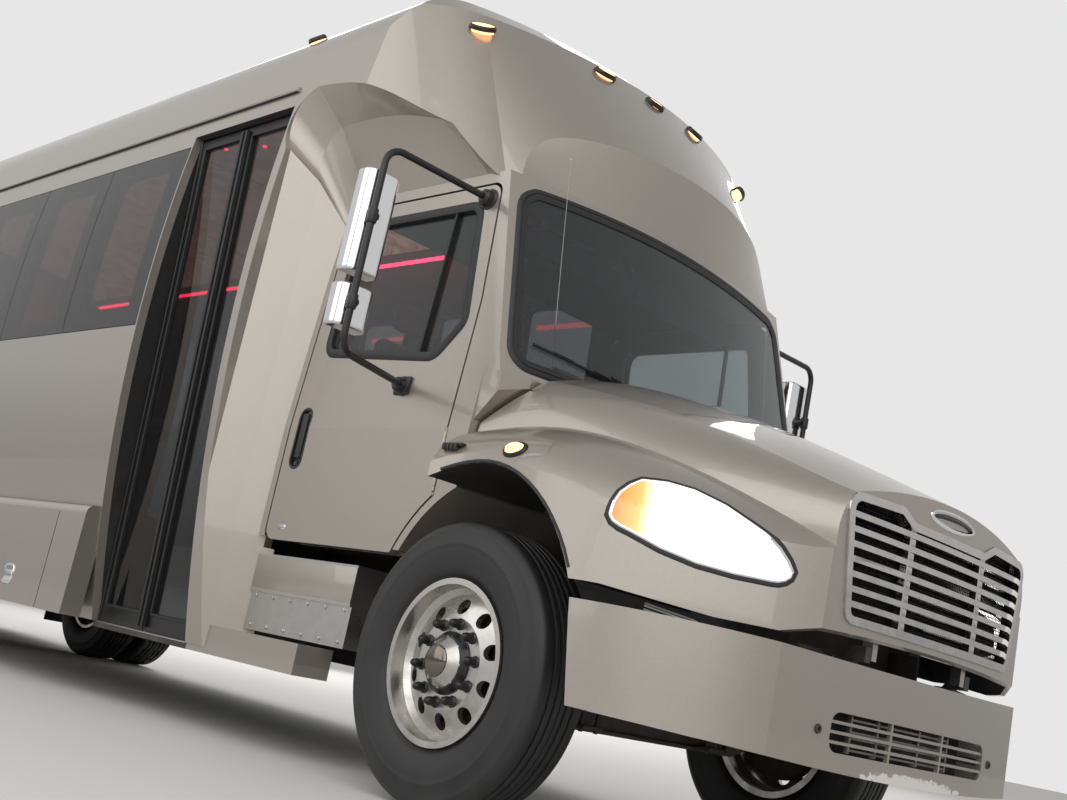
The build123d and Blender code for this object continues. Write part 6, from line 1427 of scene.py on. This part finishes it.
for s, tag in ((-1, "right"), (1, "left")):
    for k, (lift, sway) in enumerate(((0.0, 0.0), (0.012, 0.015), (-0.010, 0.03), (0.02, -0.01))):
        route = [(FRONT_AXLE + 0.80, s * 1.02, 0.80 + lift),
                 (FRONT_AXLE + 0.93, s * (0.93 + sway), 0.775 + lift),
                 (FRONT_AXLE + 1.03, s * (0.82 - sway), 0.752 - lift),
                 (FRONT_AXLE + 1.08, s * 0.70, 0.772 + lift * 0.5),
                 (FRONT_AXLE + 1.07, s * 0.60, 0.765), (FRONT_AXLE + 1.07, s * 0.55, 0.77)]
        pipe("lamp_wire_%d_%s" % (k + 1, tag), route, 0.0035, wire_red if k == 2 else wire_grey, "root",
             bend=0.03, sides=2)

# Engine bay and underside: finned cooler, aluminised exhaust, brushed fuel tank on two
# black straps with a screwed cap; each hangs from the rails on brackets.
core_black = finish("core_black", (0.02, 0.02, 0.021), metal=0.4, rough=0.55)
tree = core_black.node_tree
ridges = node(tree, "TexWave", {"Scale": 90.0}, {"Vector": node(tree, "TexCoord").outputs["Object"]},
              bands_direction="Z")
relief = node(tree, "Bump", {"Strength": 0.7, "Distance": 0.002}, {"Height": ridges.outputs["Fac"]})
tree.links.new(relief.outputs["Normal"], tree.nodes["Principled BSDF"].inputs["Normal"])
dusty(core_black, (0.02, 0.02, 0.021), 0.8, 1.4, 0.5, 0.5, 0.85)
dress(core_black, "cooler_pack")
exhaust_steel = finish("exhaust_steel", (0.30, 0.28, 0.26), metal=0.9, rough=0.4)
dusty(exhaust_steel, (0.30, 0.28, 0.26), 0.4, 0.9, 0.8, 0.38, 0.85, scale=7.0, dust=(0.13, 0.08, 0.05, 1))
dress(exhaust_steel, "exhaust")
brushed, given, out = group("brushed", {"Stretch": "Vector"}, {"Height": "Float"})
place = node(brushed, "TexCoord").outputs["Object"]
pulled = node(brushed, "Mapping", links={"Vector": place, "Scale": given["Stretch"]})
streak = node(brushed, "TexNoise", {"Scale": 1.0, "Detail": 4.0}, {"Vector": pulled.outputs[0]})
brushed.links.new(streak.outputs["Fac"], out["Height"])
tank_alloy = finish("tank_alloy", (0.55, 0.55, 0.54), metal=1.0, rough=0.32)
dusty(tank_alloy, (0.55, 0.55, 0.54), 0.35, 1.0, 0.6, 0.3, 0.7)
lay(tank_alloy, brushed, {"Stretch": (4.0, 300.0, 300.0)}, bump=0.15)
lay(step_alloy, brushed, {"Stretch": (4.0, 300.0, 300.0)}, bump=0.08)
dress(tank_alloy, "fuel_tank")
CAB_BACK = FRONT_AXLE - 1.55
bm = bmesh.new()
tank_section = [Vector(p) for p in rounded([(0.52, 0.47, 0.07), (1.08, 0.47, 0.07), (1.08, 0.85, 0.07),
                                             (0.52, 0.85, 0.07)])]
for x in (CAB_BACK - 1.62, CAB_BACK - 0.97):
    line = loop_on(tank_section, lambda p: Vector((x, p.x, p.y)), lambda p: Vector((1, 0, 0)))
    sweep(bm, line, [(0.0005, -0.03), (0.004, -0.028), (0.004, 0.028), (0.0005, 0.03)])
solid("tank_straps", bm, chassis_black, "root")
bm = bmesh.new()
lathe(bm, [(0, 0), (0.045, 0), (0.045, 0.012), (0.052, 0.014), (0.052, 0.034), (0.046, 0.04), (0, 0.04)],
      side_turn(CAB_BACK - 0.82, 1.079, 0.76, 1), 32)
solid("fuel_cap", bm, bezel_black, "root")

# Rear: round red lamps over a clear one each side in bright rings, a rubber round the back
# window, and a bare number plate held by two screws.
red_lens = finish("red_lens", (0.42, 0.01, 0.012), rough=0.15, coat=1.0, glow=(1.0, 0.02, 0.02),
                  strength=0.35)
tree = red_lens.node_tree
axes = node(tree, "SeparateXYZ", links={0: node(tree, "TexCoord").outputs["Object"]})
tier = node(tree, "Math", {1: 1.075}, {0: axes.outputs["Z"]}, operation="GREATER_THAN").outputs[0]
for socket, clear_one, red_one in (("Base Color", (0.75, 0.75, 0.75, 1), (0.42, 0.01, 0.012, 1)),
                                   ("Emission Color", (0.1, 0.1, 0.1, 1), (1.0, 0.02, 0.02, 1))):
    pick = node(tree, "Mix", {6: clear_one, 7: red_one}, {0: tier}, data_type="RGBA")
    tree.links.new(pick.outputs[2], tree.nodes["Principled BSDF"].inputs[socket])
cubes = node(tree, "TexVoronoi", {"Scale": 110.0}, {"Vector": node(tree, "TexCoord").outputs["Object"]})
relief = node(tree, "Bump", {"Strength": 0.5, "Distance": 0.002}, {"Height": cubes.outputs["Distance"]})
tree.links.new(relief.outputs["Normal"], tree.nodes["Principled BSDF"].inputs["Normal"])
dress(red_lens, "tail_lamps")
backwards = Matrix.Rotation(-math.pi / 2, 4, "Y")
bm = bmesh.new()
for y in (-1.02, 1.02):
    for z in (1.01, 1.14, 1.27):
        lathe(bm, [(0.0555, -0.002), (0.0555, 0.014), (0.058, 0.016), (0.064, 0.009), (0.066, -0.002)],
              Matrix.Translation((BODY_BACK, y, z)) @ backwards, 40)
solid("tail_rings", bm, chrome, "root")
bm = bmesh.new()
HALF, LOW, TOP, CORNER_R = 0.67, 1.97, 2.67, 0.08
pane = [Vector(p) for p in rounded([(-HALF, LOW, CORNER_R), (HALF, LOW, CORNER_R), (HALF, TOP, CORNER_R),
                                    (-HALF, TOP, CORNER_R)])]
line = loop_on(denser(pane, 0.3), lambda p: Vector((BODY_BACK, p.x, p.y)), lambda p: Vector((-1, 0, 0)))
sweep(bm, line, [(-0.03, -0.001), (-0.028, 0.005), (0.0, 0.009), (0.016, 0.006), (0.02, -0.001)])
solid("rear_window_rubber", bm, seal_rubber, "root")
bm = bmesh.new()
slab(bm, (BODY_BACK - 0.004, -0.1525, 1.044), (BODY_BACK - 0.0012, 0.1525, 1.196), 0.001)
plate_blank = finish("plate_blank", (0.72, 0.72, 0.70), rough=0.35)
dusty(plate_blank, (0.72, 0.72, 0.70), 0.8, 1.5, 0.4, 0.3, 0.6, scale=12.0)
solid("number_plate", bm, plate_blank, "root")
bm = bmesh.new()
for y in (-0.089, 0.089):
    lathe(bm, [(0, 0), (0.008, 0), (0.008, 0.002), (0.005, 0.005), (0, 0.006)],
          Matrix.Translation((BODY_BACK - 0.004, y, 1.12)) @ backwards, 16)
solid("plate_screws", bm, steel_bright, "root")

# Lounge benches: plinths of covered board along both walls and across the back, with loose
# foam cushions and wall pads in stitched dark red hide, each edged with a welted seam.
hide, given, out = group("hide", {"Scale": "Float"}, {"Height": "Float", "Crease": "Float"})
place = node(hide, "TexCoord").outputs["Object"]
cells = node(hide, "TexVoronoi", {"Randomness": 1.0}, {"Vector": place, "Scale": given["Scale"]},
             feature="DISTANCE_TO_EDGE")
folds = node(hide, "TexNoise", {"Scale": 9.0, "Detail": 5.0, "Roughness": 0.6}, {"Vector": place})
grain = node(hide, "MapRange", {"From Max": 0.25}, {"Value": cells.outputs["Distance"]})
hide.links.new(node(hide, "Math", links={0: grain.outputs[0], 1: folds.outputs["Fac"]},
                    operation="ADD").outputs[0],
               out["Height"])
# Crease is the folds' noise that also raises the relief; colour mixed by it is painted shade, darker in the
# fold hollows
hide.links.new(folds.outputs["Fac"], out["Crease"])


def upholstery(name, dark, light, effect, scale, rough, sheen=0.0):
    """Covering whose colour runs between two shades by its group's Crease output: for the hide, painted shade
    in its folds' hollows; for the weave, blotches at random.
    """
    made = finish(name, light, rough=rough, sheen=sheen)
    tree = made.node_tree
    lay(made, effect, {"Scale": scale}, bump=0.35)
    used = next(n for n in tree.nodes if n.bl_idname == "ShaderNodeGroup")
    shade = node(tree, "Mix", {6: (*dark, 1), 7: (*light, 1)}, {0: used.outputs["Crease"]}, data_type="RGBA")
    tree.links.new(shade.outputs[2], tree.nodes["Principled BSDF"].inputs["Base Color"])
    return made


def stuffed(name, size, voxel, ease=0.02):
    """Mesh of one cushion about its own middle: a sewn box blown up as cloth."""
    bm = bmesh.new()
    slab(bm, [-0.5 * side for side in size], [0.5 * side for side in size], min(size) * 0.3)
    mesh = bpy.data.meshes.new(name)
    bm.to_mesh(mesh)
    piece = bpy.data.objects.new(name, mesh)
    bpy.context.collection.objects.link(piece)

    def settle():
        shape = bpy.data.meshes.new_from_object(piece.evaluated_get(bpy.context.evaluated_depsgraph_get()))
        piece.modifiers.clear()
        piece.data = shape
        return shape

    remesh = piece.modifiers.new("voxels", "REMESH")
    remesh.mode, remesh.voxel_size = "VOXEL", voxel
    settle()
    start = [v.co.copy() for v in piece.data.vertices]
    cloth = piece.modifiers.new("cloth", "CLOTH")
    cloth.settings.use_pressure = True
    cloth.settings.uniform_pressure_force = 4.0
    cloth.settings.effector_weights.gravity = 0.0
    for frame_number in range(1, 21):
        bpy.context.scene.frame_set(frame_number)
    settle()
    bpy.context.scene.frame_set(1)
    for v, before in zip(piece.data.vertices, start):
        moved = v.co - before
        if moved.length > ease:
            v.co = before + moved * (ease / moved.length)
    smooth = piece.modifiers.new("round", "SUBSURF")
    smooth.levels = smooth.render_levels = 1
    shape = settle()
    bpy.data.objects.remove(piece)
    return shape


def welt(shape, size, r):
    """Bmesh of a piped seam round a cushion, halfway up its sides."""
    bm = bmesh.new()
    bm.from_mesh(shape)
    skin_of = BVHTree.FromBMesh(bm)
    bm.free()
    outline = rounded([(-size[0] / 2, -size[1] / 2, 0.06), (size[0] / 2, -size[1] / 2, 0.06),
                       (size[0] / 2, size[1] / 2, 0.06), (-size[0] / 2, size[1] / 2, 0.06)])
    line = []
    for p in denser([Vector(p) for p in outline], 0.08):
        out_way = Vector((p.x / size[0], p.y / size[1], 0)).normalized()
        place = skin_of.find_nearest(Vector((p.x, p.y, size[2] * 0.2)))[0]
        line.append((place, out_way, Vector((0, 0, 1))))
    seam = bmesh.new()
    sweep(seam, line, [(r * math.cos(a), r * math.sin(a)) for a in (math.pi * k / 3 for k in range(6))])
    return seam


def laid(shape, places):
    """Bmesh with a copy of a mesh, or of another bmesh, at each place."""
    mesh = shape
    if not isinstance(mesh, bpy.types.Mesh):
        mesh = bpy.data.meshes.new("copy")
        shape.to_mesh(mesh)
    bm = bmesh.new()
    for matrix in places:
        first = len(bm.verts)
        bm.from_mesh(mesh)
        bm.verts.ensure_lookup_table()
        bmesh.ops.transform(bm, matrix=matrix, verts=bm.verts[first:])
    return bm


# the hide's dark shade is painted into the hollows of its folds
lounge_red = upholstery("lounge_hide", (0.030, 0.004, 0.005), (0.10, 0.012, 0.014), hide, 240.0, 0.42)
WALL_FACE = 1.1756
REAR_WALL = -5.1175
SEAT_Z, PAD_Z = 1.405, 1.69
PLINTH_LOW, PLINTH_TOP, HOUSING_TOP = 1.082, 1.335, 1.2
BENCHES = ((-1, 1.0645), (1, 1.7705))
BENCH_BACK = -4.6275
SEAT = (0.68, 0.33, 0.115)
PAD = (0.68, 0.40, 0.09)
seat_shape = stuffed("seat_shape", SEAT, 0.03)
pad_shape = stuffed("pad_shape", PAD, 0.03)
on_edge = Matrix.Rotation(math.pi / 2, 4, "X")
seats, pads = [], []
for s, front in BENCHES:
    count = 8 if s < 0 else 9
    pitch = (front - BENCH_BACK) / count
    turn = Matrix.Rotation(math.pi if s > 0 else 0.0, 4, "Z")
    for k in range(count):
        x = BENCH_BACK + pitch * (k + 0.5)
        seats.append(Matrix.Translation((x, s * (WALL_FACE - 0.295), SEAT_Z)) @ turn)
        pads.append(Matrix.Translation((x, s * (WALL_FACE - 0.06), PAD_Z)) @ turn @ on_edge)
for k in (-1, 0, 1):
    turn = Matrix.Rotation(-math.pi / 2, 4, "Z")
    seats.append(Matrix.Translation((REAR_WALL + 0.295, k * 0.735, SEAT_Z)) @ turn)
    pads.append(Matrix.Translation((REAR_WALL + 0.06, k * 0.735, PAD_Z)) @ turn @ on_edge)
for name, shape, size, places in (("sofa_seats", seat_shape, SEAT, seats),
                                  ("sofa_pads", pad_shape, PAD, pads)):
    cushions = solid(name, laid(shape, places), lounge_red, "root")
    solid(name + "_welts", laid(welt(shape, size, 0.004), places), lounge_red, "root")
plinths = bmesh.new()
for s, front in BENCHES:
    near, far = sorted((s * (WALL_FACE - 0.46), s * WALL_FACE))
    slab(plinths, (BENCH_BACK, near, 1.195), (front, far, PLINTH_TOP), 0.01)
    slab(plinths, (BENCH_BACK, near, PLINTH_LOW), (REAR_AXLE - 0.65, far, HOUSING_TOP), 0.006)
    slab(plinths, (REAR_AXLE + 0.65, near, PLINTH_LOW), (front, far, HOUSING_TOP), 0.006)
slab(plinths, (REAR_WALL, -1.1156, PLINTH_LOW), (REAR_WALL + 0.46, 1.1156, PLINTH_TOP), 0.01)
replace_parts(solid("sofa_plinths", plinths, lounge_red, "root"), "sofas")

# Cab seats: two high-backed seats on boxed pedestals, foam cushions in red woven cloth with
# a separate head pad on each, and a slide lever at the side.
weave, given, out = group("weave", {"Scale": "Float"}, {"Height": "Float", "Crease": "Float"})
place = node(weave, "TexCoord").outputs["Object"]
threads = []
for way in ("X", "Y"):
    threads.append(node(weave, "TexWave", links={"Vector": place, "Scale": given["Scale"]},
                        bands_direction=way))
weave.links.new(node(weave, "Math", links={0: threads[0].outputs["Fac"], 1: threads[1].outputs["Fac"]},
                     operation="MULTIPLY").outputs[0], out["Height"])
blotch = node(weave, "TexNoise", {"Scale": 14.0, "Detail": 4.0}, {"Vector": place})
weave.links.new(blotch.outputs["Fac"], out["Crease"])
seat_cloth = upholstery("seat_cloth", (0.16, 0.006, 0.010), (0.42, 0.020, 0.026), weave, 160.0, 0.8,
                        sheen=0.4)
BASE = (0.42, 0.44, 0.10)
REST = (0.44, 0.50, 0.085)
HEAD = (0.26, 0.14, 0.085)
parts_of_seat = (("cab_seat_bases", BASE, 0.018, Matrix.Translation((FRONT_AXLE - 1.15, 0, 1.385)), False),
                 ("cab_seat_rests", REST, 0.018, Matrix.Translation((FRONT_AXLE - 1.37, 0, 1.69)), True),
                 ("cab_seat_heads", HEAD, 0.014, Matrix.Translation((FRONT_AXLE - 1.415, 0, 2.07)), True))
LEAN = math.radians(-7)
upright = Matrix.Rotation(LEAN, 4, "Y") @ Matrix.Rotation(math.pi / 2, 4, "Z") @ on_edge
for name, size, voxel, place, stands in parts_of_seat:
    shape = stuffed(name + "_shape", size, voxel, 0.014)
    places = [Matrix.Translation((0, y, 0)) @ place @ (upright if stands else Matrix())
              for y in (-0.52, 0.52)]
    cushions = solid(name, laid(shape, places), seat_cloth, "root")
    solid(name + "_welts", laid(welt(shape, size, 0.003), places), bezel_black, "root")
    if name == "cab_seat_bases":
        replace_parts(cushions, "cab_seats")
pedestals = bmesh.new()
for y in (-0.52, 0.52):
    slab(pedestals, (FRONT_AXLE - 1.31, y - 0.13, 1.062), (FRONT_AXLE - 1.06, y + 0.13, 1.30), 0.02)
    slab(pedestals, (FRONT_AXLE - 1.37, y - 0.21, 1.295), (FRONT_AXLE - 0.96, y + 0.21, 1.33), 0.012)
    slab(pedestals, (FRONT_AXLE - 1.455, y - 0.03, 1.90), (FRONT_AXLE - 1.40, y + 0.03, 2.05), 0.006)
    slab(pedestals, (FRONT_AXLE - 1.02, y - 0.16, 1.285), (FRONT_AXLE - 0.90, y - 0.14, 1.30), 0.004)
solid("cab_seat_pedestals", pedestals, plastic_black, "root")
